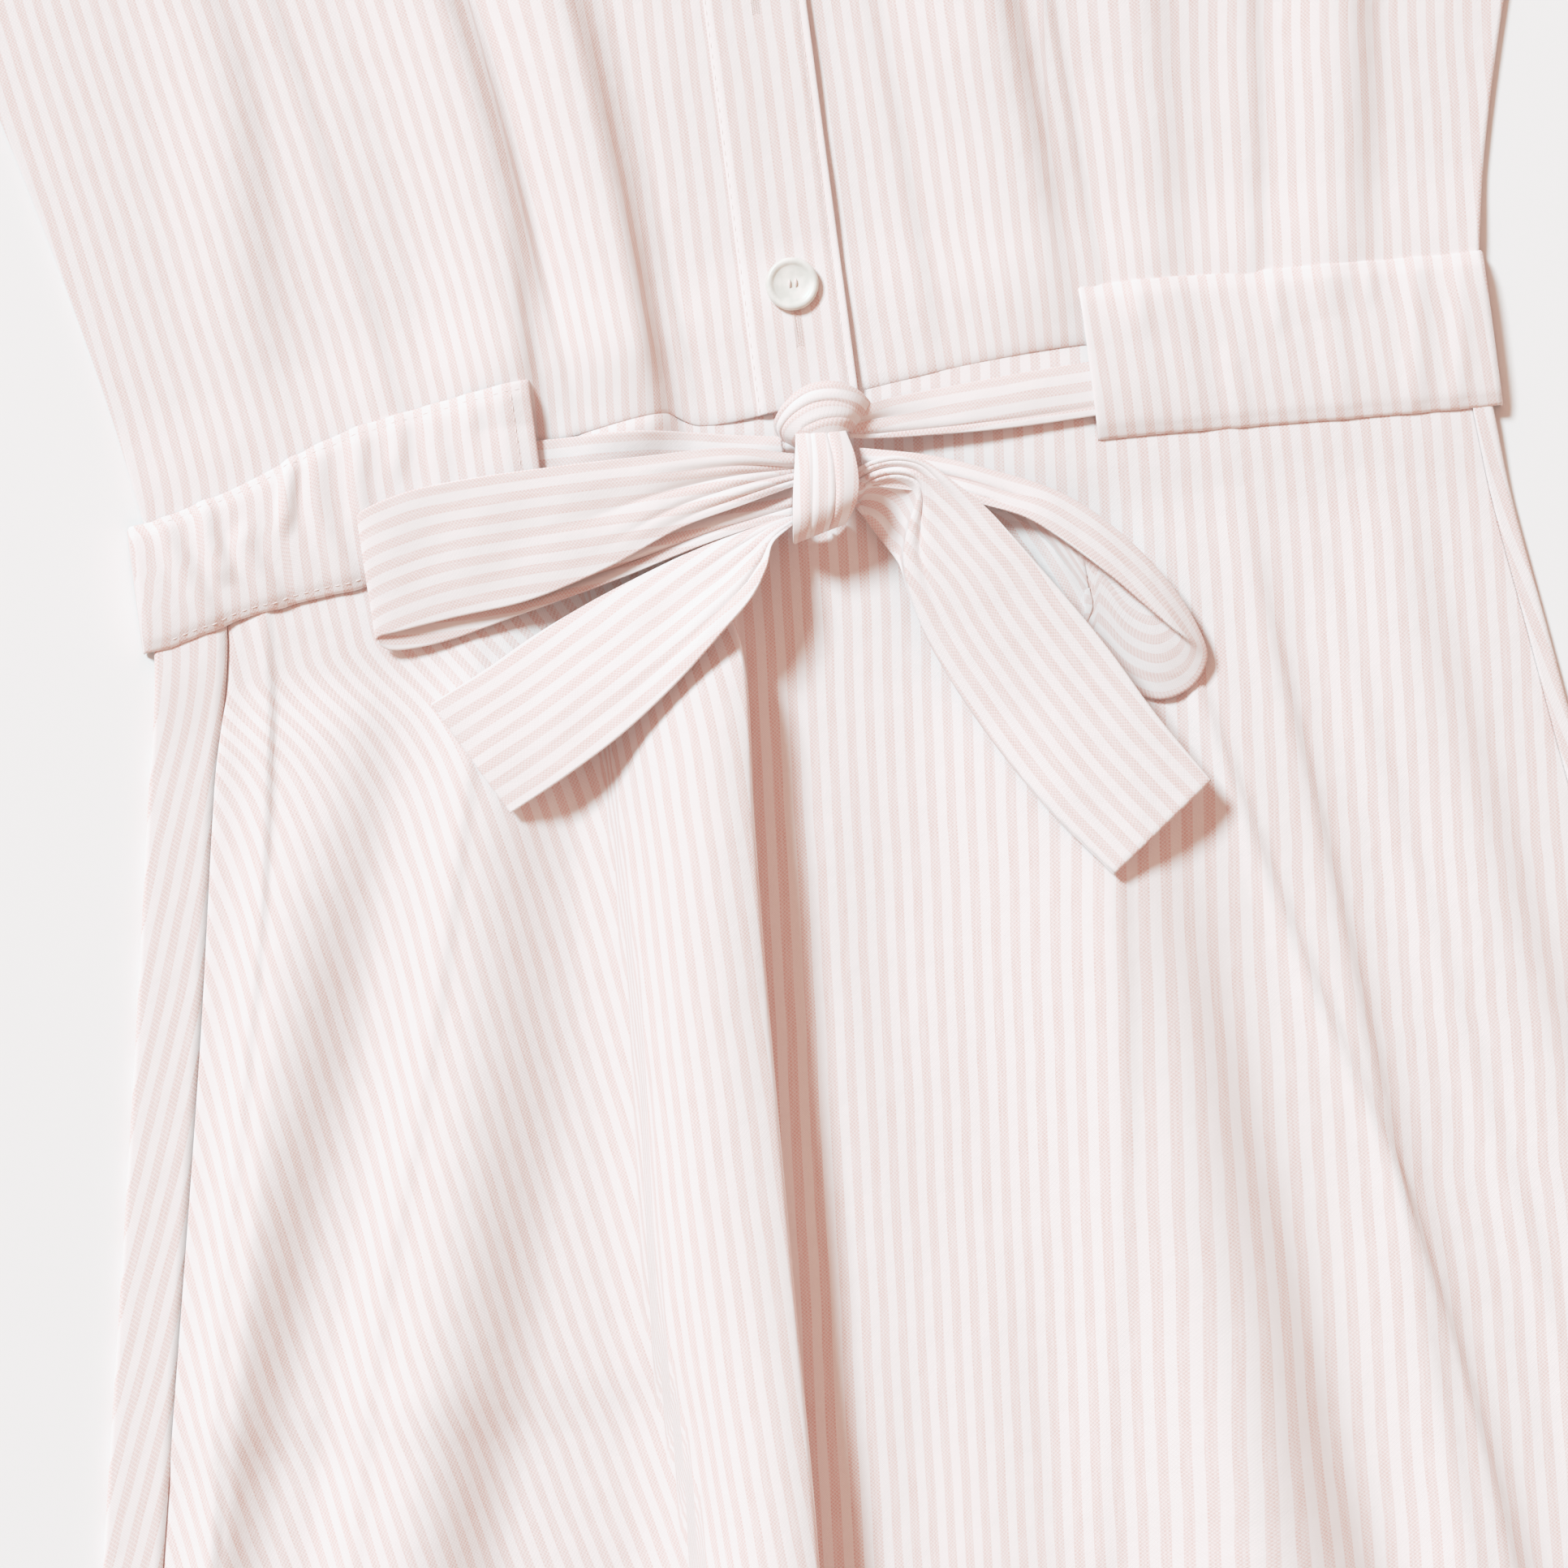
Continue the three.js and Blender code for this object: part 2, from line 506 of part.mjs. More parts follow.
// A stretch of the tie, ruled between its two edges with soft gathers across it. Where it
// lies on the fronts it follows them, and else its heights start from their level at the knot.
const TIE_LEVEL = 3 * LAYER - GAP;
function tiePoint(rows, lying, u, v) {
  const stations = rows.map((_, i) => i / (rows.length - 1));
  const edge = (key, axis) => curve(stations, rows.map((row) => row[key][axis]), v);
  const pleat = curve(stations, rows.map((row) => row.pleat), v);
  const wave = pleat * Math.sin(u * Math.PI * 3) * Math.sin(u * Math.PI);
  const [x, y, z] = [0, 1, 2].map((axis) => lerp(edge('a', axis), edge('b', axis), u));
  return new THREE.Vector3(x, y, z + wave + (lying ? frontTop(x, y) + GAP : TIE_LEVEL));
}
function addTie(name, rows, across, along, wall, lying = false) {
  addPiece(name, clothWall(even(across), even(along), wall, (u, v) => tiePoint(rows, lying, u, v)));
}

// Flattened sleeve tube, its underside on the table and its upper end along the armhole
function sleevePoint(side, u, v) {
  const angle = u * Math.PI * 2;
  const swing = Math.sign(Math.cos(angle)) * Math.abs(Math.cos(angle)) ** 0.8;
  const lift = Math.sign(Math.sin(angle)) * Math.abs(Math.sin(angle)) ** 0.45;
  const across = (swing + 1) / 2;
  const armY = lerp(SLEEVE.armUnder, SLEEVE.armTop, across);
  const x = lerp(bodiceHalf(armY) + SLEEVE.ease, lerp(SLEEVE.hemUnder[0], SLEEVE.hemTop[0], across), v);
  const y = lerp(armY, lerp(SLEEVE.hemUnder[1], SLEEVE.hemTop[1], across), v);
  const half = SLEEVE.half - mid;
  return new THREE.Vector3(side * x, y, mid + half + half * lift);
}

// Neckline as an angle from the centre front, and the two collar pieces on it
function neckPoint(angle) {
  const depth = Math.cos(angle) > 0 ? NECK.front : NECK.back;
  return new THREE.Vector3(NECK.x * Math.sin(angle), NECK.y - depth * Math.cos(angle), 0);
}
function standPoint(angle, t) {
  const foot = neckPoint(angle);
  const back = (1 - Math.cos(angle)) / 2;
  const tilt = lerp(0.5, 1.35, back);
  const inward = new THREE.Vector3(0, NECK.y, 0).sub(foot).normalize();
  const lowest = lerp(7.2, 2.6, back);
  return foot.clone().addScaledVector(inward, 3 + Math.cos(tilt) * STAND_HEIGHT * t)
    .setZ(lowest + mid + Math.sin(tilt) * STAND_HEIGHT * t);
}
function fallPoint(angle, t) {
  const top = standPoint(angle, 1 + COLLAR_SEAM / STAND_HEIGHT);
  const turned = Math.min(angle, 2 * Math.PI - angle);
  const side = angle > Math.PI ? -1 : 1;
  const back = (1 - Math.cos(angle)) / 2;
  const frontness = Math.exp(-(turned - COLLAR_OPEN) / COLLAR_SPREAD);
  const heading = turned + 0.42 * frontness;
  const outward = new THREE.Vector3(side * Math.sin(heading), -Math.cos(heading), 0);
  const wide = COLLAR_BACK + (COLLAR_POINT - COLLAR_BACK) * frontness;
  const land = lerp(9.4, 6.4, back);
  const over = clamp(t * 3, 0, 1);
  const out = clamp((t * 3 - 1) / 2, 0, 1);
  const crown = COLLAR_FOLD * (1 - Math.cos(over * Math.PI));
  const z = top.z + COLLAR_FOLD * Math.sin(over * Math.PI) - out ** 0.8 * (top.z - land);
  return top.clone().addScaledVector(outward, crown + out * wide).setZ(z);
}

// Pocket bag between the two skirt layers
function pocketPoint(u, v) {
  const y = lerp(POCKET.top, POCKET.bottom, v);
  const belly = 1 - Math.abs(2 * v - 1) ** 4 * 0.45;
  const x = seamLeft(y) + 2 + POCKET.depth * belly * u;
  return new THREE.Vector3(x, y, LAYER + mid);
}

function buttonGeometry() {
  const { radius, thick, rim, well } = BUTTON;
  const profile = [
    [0, 0], [radius - rim, 0], [radius, thick * 0.35], [radius, thick * 0.7], [radius - rim * 0.6, thick],
    [radius - 2 * rim, thick * 0.95], [radius - 2.6 * rim, thick * 0.72], [well, thick * 0.78],
    [well * 0.8, thick * 0.5], [0, thick * 0.5],
  ];
  const lathe = new THREE.LatheGeometry(profile.map(([x, y]) => new THREE.Vector2(x, y)), BUTTON.facets);
  return lathe.rotateX(Math.PI / 2);
}

// Rows lie closer together near the waist
const skirtRows = even(16).map((t) => t ** 1.4);
const bodiceRows = even(14).map((t) => t ** 1.3);
addPiece('skirt_front', clothWall(shared([20, 8, 22]), skirtRows, CLOTH, skirtFrontPoint));
addPiece('skirt_back', clothWall(shared([2, 4, 8, 4, 2]), skirtRows, CLOTH, skirtBackPoint));
addPiece('bodice_back', clothWall(even(14), bodiceRows, CLOTH, bodiceBackPoint));
addPiece('bodice_front_right', clothWall(shared([14, 4]), bodiceRows, CLOTH,
  (u, v) => bodiceFrontPoint(BAND_LEFT, -1, RIGHT_FRONT_FOLDS, LAYER, u, v)));
addPiece('bodice_front_left', clothWall(shared([14, 4]), bodiceRows, CLOTH,
  (u, v) => bodiceFrontPoint(UNDERLAP_X, 1, LEFT_FRONT_FOLDS, 0, u, v)));
addPiece('button_band', clothWall(even(6), bodiceRows, CLOTH, bandPoint));
addPiece('waist_channel_right', clothWall(shared([9, 4]), even(8), CLOTH, (u, v) => channelPoint(-74, -1, u, v)));
addPiece('waist_channel_left', clothWall(shared([9, 4]), even(8), CLOTH, (u, v) => channelPoint(75, 1, u, v)));
addPiece('waist_channel_back', clothWall(even(14), even(1), CLOTH, channelBackPoint));
addPiece('pocket_bag', clothWall(even(5), even(6), CLOTH, pocketPoint));

addTie('tie_run_right', TIE_RUN_RIGHT, 6, 12, TIE_WALL, true);
addTie('tie_run_left', TIE_RUN_LEFT, 4, 8, FOLDED_TIE_WALL, true);
addTie('tie_tail_right', TIE_TAIL_RIGHT, 8, 14, TIE_WALL);
addTie('tie_tail_left', TIE_TAIL_LEFT, 8, 14, TIE_WALL);
addTie('tie_loop_right', TIE_LOOP_RIGHT, 6, 28, TIE_WALL);
addTie('tie_loop_left', TIE_LOOP_LEFT, 6, 26, TIE_WALL);
addTie('tie_knot_wrap', KNOT_WRAP, 6, 14, TIE_WALL);
addTie('tie_knot_over', KNOT_OVER, 6, 12, TIE_WALL);

for (const [side, name] of [[-1, 'right'], [1, 'left']]) {
  const place = (u, v) => sleevePoint(side, side * u, v);
  addPiece(`sleeve_${name}`, clothWall(even(18).slice(0, -1), even(6), CLOTH, place, true));
}

// The stand is left open at the front, and the fall stops a little short of its ends
addPiece('collar_stand', clothWall(even(26), even(2), CLOTH,
  (u, v) => standPoint(lerp(STAND_OPEN, 2 * Math.PI - STAND_OPEN, u), v)));
addPiece('collar', clothWall(even(26), shared([4, 2, 2]), CLOTH,
  (u, v) => fallPoint(lerp(COLLAR_OPEN, 2 * Math.PI - COLLAR_OPEN, u), v)));

for (let i = 0; i < BUTTON.count; i += 1) {
  const y = BUTTON.first + i * BUTTON.pitch;
  const top = bandPoint(0.5, y / (FRONT_NECK_Y - 4));
  const button = addPiece(`button_${i + 1}`, buttonGeometry(), CREAM, 0.3);
  button.position.set(BUTTON_X, top.y, top.z + mid + BUTTON_SHANK);
}

export default dress;
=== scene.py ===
# %% [markdown]
# A striped cotton shirt dress laid flat
#
# The real dress is cut from light woven cotton with narrow pink and white stripes. It lies on a
# table with its front up, its tie is knotted in a bow at the waist, and soft folds run down from
# the waist. The frame gives the walls of each panel. Here each one is made again as a thin shell
# on the same form, with more points, so that folds, hems, puckers and threads can be seen.

# %% Tools and frame
import math
from functools import partial

import bpy
import numpy as np
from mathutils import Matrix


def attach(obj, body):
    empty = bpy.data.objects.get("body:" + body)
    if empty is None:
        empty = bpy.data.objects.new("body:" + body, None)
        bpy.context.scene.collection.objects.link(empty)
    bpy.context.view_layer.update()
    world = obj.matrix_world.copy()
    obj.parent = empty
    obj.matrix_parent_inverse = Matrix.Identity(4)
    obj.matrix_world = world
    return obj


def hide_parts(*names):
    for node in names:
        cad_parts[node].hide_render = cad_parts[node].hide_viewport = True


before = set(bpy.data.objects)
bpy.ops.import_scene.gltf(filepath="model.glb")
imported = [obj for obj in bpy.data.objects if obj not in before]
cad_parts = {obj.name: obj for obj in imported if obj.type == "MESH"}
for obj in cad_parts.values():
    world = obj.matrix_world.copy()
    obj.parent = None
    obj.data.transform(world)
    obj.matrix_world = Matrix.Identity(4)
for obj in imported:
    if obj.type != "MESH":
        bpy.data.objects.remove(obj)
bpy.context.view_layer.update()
scene = bpy.context.scene
FINE = 1.0
print("nodes in the frame:", len(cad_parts))

# %% [markdown]
# Camera
#
# The photograph looks straight down at the waist, and the dress leans 7.6 degrees to the left in
# it. The picture is 420 mm wide on the cloth.

# %% Camera
MM = 0.001
MIDDLE_Y = -123.96   # the frame's zero, measured from the waist seam
VIEW_MM = 420.0      # width of the picture on the cloth
LEAN = math.radians(7.6)
LENS, SENSOR = 85.0, 36.0
LOOK_AT = (-20.6, 21.9, 5.0)

camera_data = bpy.data.cameras.new("camera")
camera_data.lens = LENS
camera_data.sensor_width = SENSOR
camera = bpy.data.objects.new("camera", camera_data)
camera.location = (LOOK_AT[0] * MM, LOOK_AT[1] * MM, (LOOK_AT[2] + VIEW_MM * LENS / SENSOR) * MM)
camera.rotation_euler = (0, 0, -LEAN)
scene.collection.objects.link(camera)
scene.camera = camera
print(f"camera {camera.location.z:.3f} m above the table")

# %% [markdown]
# Light
#
# One broad lamp stands up and to the left, 43 degrees above the table, so its shadows have soft
# edges, and a warm room fills them. A sun with a wide disc gives the same softness all over the
# dress, which a near lamp would not. Past the table the camera sees a pale wall.

# %% Light
KEY_RISE = math.radians(43)
KEY_TURN = math.radians(136)   # from the picture's right, anticlockwise
KEY_POWER = 4.75
KEY_DISC = math.radians(14)
KEY_COLOUR = (0.71, 0.97, 1.045)
ROOM = (0.71, 0.43, 0.355)
WALL = (1.3, 1.3, 1.3)

sun_data = bpy.data.lights.new("key", "SUN")
sun_data.energy = KEY_POWER
sun_data.angle = KEY_DISC
sun_data.color = KEY_COLOUR
sun = bpy.data.objects.new("key", sun_data)
sun.rotation_euler = (0, math.pi / 2 - KEY_RISE, KEY_TURN - LEAN)
scene.collection.objects.link(sun)

world = bpy.data.worlds.new("room")
world.use_nodes = True
backdrop = world.node_tree.nodes["Background"]
backdrop.inputs["Color"].default_value = (*ROOM, 1)
backdrop.inputs["Strength"].default_value = 1.0
light_path = world.node_tree.nodes.new("ShaderNodeLightPath")
seen = world.node_tree.nodes.new("ShaderNodeMix")
seen.data_type = "RGBA"
seen.inputs[6].default_value = (*ROOM, 1)
seen.inputs[7].default_value = (*WALL, 1)
world.node_tree.links.new(light_path.outputs["Is Camera Ray"], seen.inputs[0])
world.node_tree.links.new(seen.outputs[2], backdrop.inputs["Color"])
scene.world = world

# %% [markdown]
# Exposure
#
# The photograph is exposed bright, so its highlights roll off, and the brightest cloth stays warm.

# %% Exposure
# Scene light in, picture light out
ROLL_OFF_TOP = 1.6
ROLL_OFF = [(0, 0), (0.3, 0.3), (0.5, 0.495), (0.75, 0.66), (1.0, 0.768), (1.25, 0.855),
            (ROLL_OFF_TOP, 0.95)]
WARM = [(0.8, 0.81), (0.87, 0.92)]   # the same for red alone, in shares of the top
tone = scene.view_settings
tone.view_transform = "Standard"
tone.use_curve_mapping = True
tone.curve_mapping.white_level = [ROLL_OFF_TOP] * 3
curve_points = tone.curve_mapping.curves[3].points
for k, (light, shown) in enumerate(ROLL_OFF):
    if k in (0, len(ROLL_OFF) - 1):
        curve_points[0 if k == 0 else -1].location = (light / ROLL_OFF_TOP, shown)
    else:
        curve_points.new(light / ROLL_OFF_TOP, shown)
for light, shown in WARM:
    tone.curve_mapping.curves[0].points.new(light, shown)
tone.curve_mapping.update()

# %% [markdown]
# Table
#
# A plain pale floor just under the dress.

# %% Table
TABLE_HALF, TABLE_Z = 3.0, -0.0003
table_mesh = bpy.data.meshes.new("table")
corners = [(x * TABLE_HALF, y * TABLE_HALF, TABLE_Z) for x, y in ((-1, -1), (1, -1), (1, 1), (-1, 1))]
table_mesh.from_pydata(corners, [], [(0, 1, 2, 3)])
table = bpy.data.objects.new("table", table_mesh)
scene.collection.objects.link(table)

# %% [markdown]
# Shader maths as Python
#
# A material is a graph of small maths nodes. Wrapping one output socket in a class with
# operators lets the graph be written as a formula, which is easier to read and to change.

# %% Shader maths as Python
class Value:
    """A number in a material's graph."""

    def __init__(self, paint, socket):
        self.paint = paint
        self.socket = socket

    def op(self, kind, *others):
        return self.paint.node("ShaderNodeMath", {"operation": kind}, dict(enumerate((self, *others))))

    def __add__(self, other):
        return self.op("ADD", other)

    def __sub__(self, other):
        return self.op("SUBTRACT", other)

    def __mul__(self, other):
        return self.op("MULTIPLY", other)

    __radd__ = __add__
    __rmul__ = __mul__

    def wave(self, period):
        """Sine of the number, one turn for each period."""
        return (self * (2 * math.pi / period)).op("SINE")

    def step(self, low, high):
        """0 up to low, 1 from high on, and a smooth rise between."""
        return self.paint.node("ShaderNodeMapRange", {"interpolation_type": "SMOOTHSTEP"},
                               {"Value": self, "From Min": low, "From Max": high})


class Paint:
    """One material and its graph."""

    def __init__(self, name, **fixed):
        self.material = bpy.data.materials.new(name)
        self.material.use_nodes = True
        self.tree = self.material.node_tree
        self.surface = self.tree.nodes["Principled BSDF"]
        for key, value in fixed.items():
            self.surface.inputs[key.replace("_", " ")].default_value = value

    def node(self, kind, settings=None, inputs=None, output=0):
        """Adds a node of a kind, with its settings and socket values, and returns one output."""
        made = self.tree.nodes.new(kind)
        for key, value in (settings or {}).items():
            setattr(made, key, value)
        for key, value in (inputs or {}).items():
            if isinstance(value, Value):
                self.tree.links.new(value.socket, made.inputs[key])
            else:
                made.inputs[key].default_value = value
        return Value(self, made.outputs[output])

    def mix(self, share, first, second):
        """Colour between two colours. Each may be a fixed one or a Value."""
        fixed = [c if isinstance(c, Value) else (*c, 1) for c in (first, second)]
        return self.node("ShaderNodeMix", {"data_type": "RGBA"}, {0: share, 6: fixed[0], 7: fixed[1]}, 2)

    def noise(self, scale, detail):
        """Soft noise in the object's own coordinates, in metres."""
        place = self.node("ShaderNodeTexCoord", None, None, 3)
        return self.node("ShaderNodeTexNoise", None, {"Vector": place, "Scale": scale, "Detail": detail})

    def feed(self, **sockets):
        """Links values to the surface's sockets of these names."""
        for key, value in sockets.items():
            self.tree.links.new(value.socket, self.surface.inputs[key.replace("_", " ")])


def linear(*rgb):
    """Linear light of a colour given as 0 to 255 values on a screen."""
    c = np.array(rgb) / 255
    return tuple(float(v) for v in np.where(c <= 0.04045, c / 12.92, ((c + 0.055) / 1.055) ** 2.4))


# %% [markdown]
# Striped cotton
#
# The cloth is a plain weave. White weft threads cross warp threads that are pink in one stripe and
# white in the next, so a pink stripe is seen as rows of pink dots on white, not as one flat
# colour. Each panel carries a map in millimetres: across the stripes and along the warp. The
# pattern is worked out from that map, so it follows every fold of the cloth.

# %% Striped cotton
STRIPE = 5.1       # a pink and a white stripe together, mm
THREAD = 0.52      # from one thread to the next, mm
WHITE = linear(249, 240, 239)
# painted shade: grey for the gaps between threads, where shade falls
GAP_SHADE = linear(222, 217, 216)
PINK = linear(230, 187, 178)


def striped(name):
    """Cotton whose stripes run along the map's second axis."""
    paint = Paint(name, Roughness=0.86, Sheen_Weight=0.12, Sheen_Roughness=0.45, Specular_IOR_Level=0.22)
    place = paint.node("ShaderNodeUVMap", {"uv_map": "cloth"})
    parts = paint.node("ShaderNodeSeparateXYZ", None, {0: place})
    across = Value(paint, parts.socket.node.outputs[0])
    along = Value(paint, parts.socket.node.outputs[1])
    slub = paint.node("ShaderNodeTexNoise", {"noise_dimensions": "2D"},
                      {"Vector": paint.node("ShaderNodeVectorMath", {"operation": "MULTIPLY"},
                                            {0: place, 1: (1.9, 0.09, 0)}), "Scale": 1.0, "Detail": 3.0})
    drift = paint.node("ShaderNodeTexNoise", {"noise_dimensions": "2D"},
                       {"Vector": place, "Scale": 0.02, "Detail": 2.0})
    edge = across + (drift - 0.5) * 1.4 + (slub - 0.5) * 0.25
    pink = edge.wave(STRIPE).step(-0.1, 0.1)
    over = (across.wave(2 * THREAD) * along.wave(2 * THREAD)).step(-0.25, 0.25)
    gap = (across.wave(THREAD) * along.wave(THREAD)).step(0.35, 0.9)
    # the white ground, with painted shade in the gaps between threads
    ground = paint.mix(gap * 0.8, WHITE, GAP_SHADE)
    dots = paint.mix(over * 0.62 + 0.3, ground, PINK)
    colour = paint.mix(pink * (0.77 + (slub - 0.5) * 1.1), ground, dots)
    crumple = paint.node("ShaderNodeTexNoise", {"noise_dimensions": "2D"},
                         {"Vector": place, "Scale": 0.11, "Detail": 4.0, "Roughness": 0.55})
    height = (over * 0.05 - gap * 0.05) + crumple * 0.5 + slub * 0.03
    normal = paint.node("ShaderNodeBump", None, {"Height": height, "Strength": 0.55, "Distance": 0.001})
    paint.feed(Base_Color=colour, Normal=normal, Roughness=0.8 + slub * 0.12)
    return paint.material


cotton = striped("striped_cotton")
tie_cotton = striped("tie_cotton")
thread = Paint("thread", Roughness=0.6, Sheen_Weight=0.2)
thread.feed(Base_Color=thread.mix(thread.noise(900.0, 2.0), linear(232, 205, 199), linear(250, 243, 240)))
floor = Paint("table", Roughness=0.7)
floor.feed(Base_Color=floor.mix(floor.noise(3.0, 3.0), linear(238, 236, 235), linear(246, 245, 244)))
table_mesh.materials.append(floor.material)

# %% [markdown]
# A thin shell from a formula
#
# Each panel is a surface of two numbers, u across and v along. These are the lines and steps that
# the formulas are made of.

# %% A thin shell from a formula
def lerp(a, b, t):
    """The value that lies t of the way from a to b."""
    return a + (b - a) * t


def soft(t):
    """Smooth rise from 0 to 1 while t goes from 0 to 1."""
    k = np.clip(t, 0, 1)
    return k * k * (3 - 2 * k)


def curve(stations, values, at):
    """Smooth line through values at rising stations: a cubic in each span, with the mean slope
    of its neighbours at the ends. Outside the stations it keeps its end values."""
    s = np.asarray(stations, float)
    f = np.asarray(values, float)
    last = len(s) - 1
    at = np.clip(np.asarray(at, float), s[0], s[-1])
    i = np.clip(np.searchsorted(s, at, side="right") - 1, 0, last - 1)
    low = np.maximum(np.arange(last + 1) - 1, 0)
    high = np.minimum(np.arange(last + 1) + 1, last)
    slope = (f[high] - f[low]) / (s[high] - s[low])
    span = s[i + 1] - s[i]
    t = (at - s[i]) / span
    t2, t3 = t * t, t * t * t
    return (f[i] * (2 * t3 - 3 * t2 + 1) + slope[i] * span * (t3 - 2 * t2 + t)
            + f[i + 1] * (3 * t2 - 2 * t3) + slope[i + 1] * span * (t3 - t2))


def stack(x, y, z):
    """Points from their three coordinates."""
    x, y, z = np.broadcast_arrays(x, y, z)
    return np.stack([x, y, z], axis=-1).astype(float)


# %% [markdown]
# Where the points go
#
# A panel's points are at fractions from 0 to 1, closer where it bends more, and one more lies close
# to each edge.

# %% Where the points go
def even(count):
    count = max(int(round(count * FINE)), 2)
    return np.linspace(0, 1, count + 1)


def shared(*counts):
    """Fractions from 0 to 1 whose spans have counts of their own."""
    parts = [(i + even(n)[:-1]) / len(counts) for i, n in enumerate(counts)]
    return np.append(np.concatenate(parts), 1.0)


def edged(fractions, size, ease=0.4):
    """The fractions with one more close to each end, where the shell's edge starts to round."""
    step = min(ease / size, fractions[1] / 2, (1 - fractions[-2]) / 2)
    return np.concatenate([[0, step], fractions[1:-1], [1 - step, 1]])


# %% [markdown]
# Lengths and normals
#
# The length of the cloth itself, measured over the folds, is its map for the stripes, so stripes
# crowd together where the cloth turns away. Its thickness is laid off along its own normals.

# %% Lengths and normals
def lengths(points, axis):
    """Length of the cloth along one axis of a grid of points, from its first row on."""
    steps = np.linalg.norm(np.diff(points, axis=axis), axis=-1)
    start = np.zeros_like(np.take(steps, [0], axis=axis))
    return np.concatenate([start, np.cumsum(steps, axis=axis)], axis=axis)


def slopes(points, axis, closed=False):
    """Difference between the neighbours of each point of a grid along one axis."""
    if closed:
        return np.roll(points, -1, axis) - np.roll(points, 1, axis)
    moved = np.moveaxis(points, axis, 0)
    ends = np.concatenate([moved[:1], moved, moved[-1:]])
    return np.moveaxis(ends[2:] - ends[:-2], 0, axis)


def normals(points, closed=False):
    """Unit normals of a grid of points."""
    out = np.cross(slopes(points, 0, closed), slopes(points, 1))
    return out / np.maximum(np.linalg.norm(out, axis=-1, keepdims=True), 1e-9)


# %% [markdown]
# A closed shell
#
# The shell has an upper and a lower face, and its thickness runs out at the edges, which rounds
# them like a turned hem.

# %% A closed shell
def build(name, corners_mm, faces, maps, material):
    """Makes a smooth mesh object from points in millimetres, faces and a map value for each
    corner of each face."""
    mesh = bpy.data.meshes.new(name)
    placed = (corners_mm - np.array([0, MIDDLE_Y, 0])) * MM
    mesh.from_pydata(placed.tolist(), [], faces.tolist())
    if maps is not None:
        layer = mesh.uv_layers.new(name="cloth")
        layer.data.foreach_set("uv", maps.astype(np.float32).ravel())
    mesh.polygons.foreach_set("use_smooth", np.ones(len(mesh.polygons), bool))
    mesh.materials.append(material)
    mesh.update()
    piece = bpy.data.objects.new(name, mesh)
    scene.collection.objects.link(piece)
    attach(piece, "root")
    return piece


EDGE_SHARE = 0.3   # of the thickness, at the very edge


def shell(name, points, cloth_map, top, bottom, material, closed=False):
    """Closed shell about a grid of points: its faces lie top and bottom along the normals, and
    meet half way at the edges. cloth_map holds the map at each point, and for a closed tube one
    more column."""
    columns, rows = points.shape[:2]
    out = normals(points, closed)
    across = np.ones(columns)
    down = np.ones(rows)
    down[[0, -1]] = EDGE_SHARE
    if not closed:
        across[[0, -1]] = EDGE_SHARE
    full = np.minimum(across[:, None], down[None, :])[..., None]
    centre = (top + bottom) / 2
    faces_of = [points + out * (centre + (side - centre) * full) for side in (top, bottom)]
    corners_mm = np.concatenate([f.reshape(-1, 3) for f in faces_of])
    spans = columns if closed else columns - 1
    i, j = np.meshgrid(np.arange(spans), np.arange(rows - 1), indexing="ij")
    i, j = i.ravel(), j.ravel()

    def vertex(side, a, b):
        return side * columns * rows + (a % columns) * rows + b

    def quads(*corners_of):
        """Faces and map values of quads, each corner as (side, column, row)."""
        ids = np.stack([vertex(*c) for c in corners_of], axis=1)
        at = np.stack([cloth_map[c[1], c[2]] for c in corners_of], axis=1)
        return ids, at

    made = [quads((0, i, j), (0, i + 1, j), (0, i + 1, j + 1), (0, i, j + 1)),
            quads((1, i, j + 1), (1, i + 1, j + 1), (1, i + 1, j), (1, i, j))]
    a = np.arange(spans)
    first, final = np.zeros_like(a), np.full_like(a, rows - 1)
    made.append(quads((1, a, first), (1, a + 1, first), (0, a + 1, first), (0, a, first)))
    made.append(quads((0, a, final), (0, a + 1, final), (1, a + 1, final), (1, a, final)))
    if not closed:
        b = np.arange(rows - 1)
        start, end = np.zeros_like(b), np.full_like(b, columns - 1)
        made.append(quads((0, start, b), (0, start, b + 1), (1, start, b + 1), (1, start, b)))
        made.append(quads((1, end, b), (1, end, b + 1), (0, end, b + 1), (0, end, b)))
    faces = np.concatenate([m[0] for m in made])
    maps = np.concatenate([m[1] for m in made])
    print(f"{name}: {len(faces) * 2} triangles")
    return build(name, corners_mm, faces, maps, material)


# %% [markdown]
# A panel in place of the frame's
#
# Each panel gets its map and its shell, and is noted down in the list of sheets.

# %% A panel in place of the frame's
def simple_map(points):
    """Map of a panel: the cloth's own length across and along."""
    return np.stack([lengths(points, 0), lengths(points, 1)], axis=-1)


def middle_map(points):
    """The same, counted across from the middle of each row."""
    cloth_map = simple_map(points)
    cloth_map[..., 0] -= cloth_map[..., 0].max(axis=0) / 2
    return cloth_map


def grid(across, along):
    """Every pairing of the fractions across and along."""
    return np.meshgrid(across, along, indexing="ij")


SHEET_TOP = 0.6        # the frame's outer face, from the middle of its wall
SHEET_BOTTOM = -0.05
FULL_WALL = dict(top=0.6, bottom=-0.6)
THIN_WALL = dict(top=0.5, bottom=-0.5)
sheets = []


def cloth(node, points, cloth_map, flat, held, area=None, rests_on=(), top=SHEET_TOP,
          bottom=SHEET_BOTTOM, material=None, slot="striped_cotton", closed=False):
    """One panel: its shell in place of the frame's node, noted down in the list of sheets."""
    piece = shell(f"cloth_{node}", points, cloth_map, top, bottom, material or cotton, closed)
    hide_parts(node)
    sheets.append((piece, flat, held, area, rests_on))


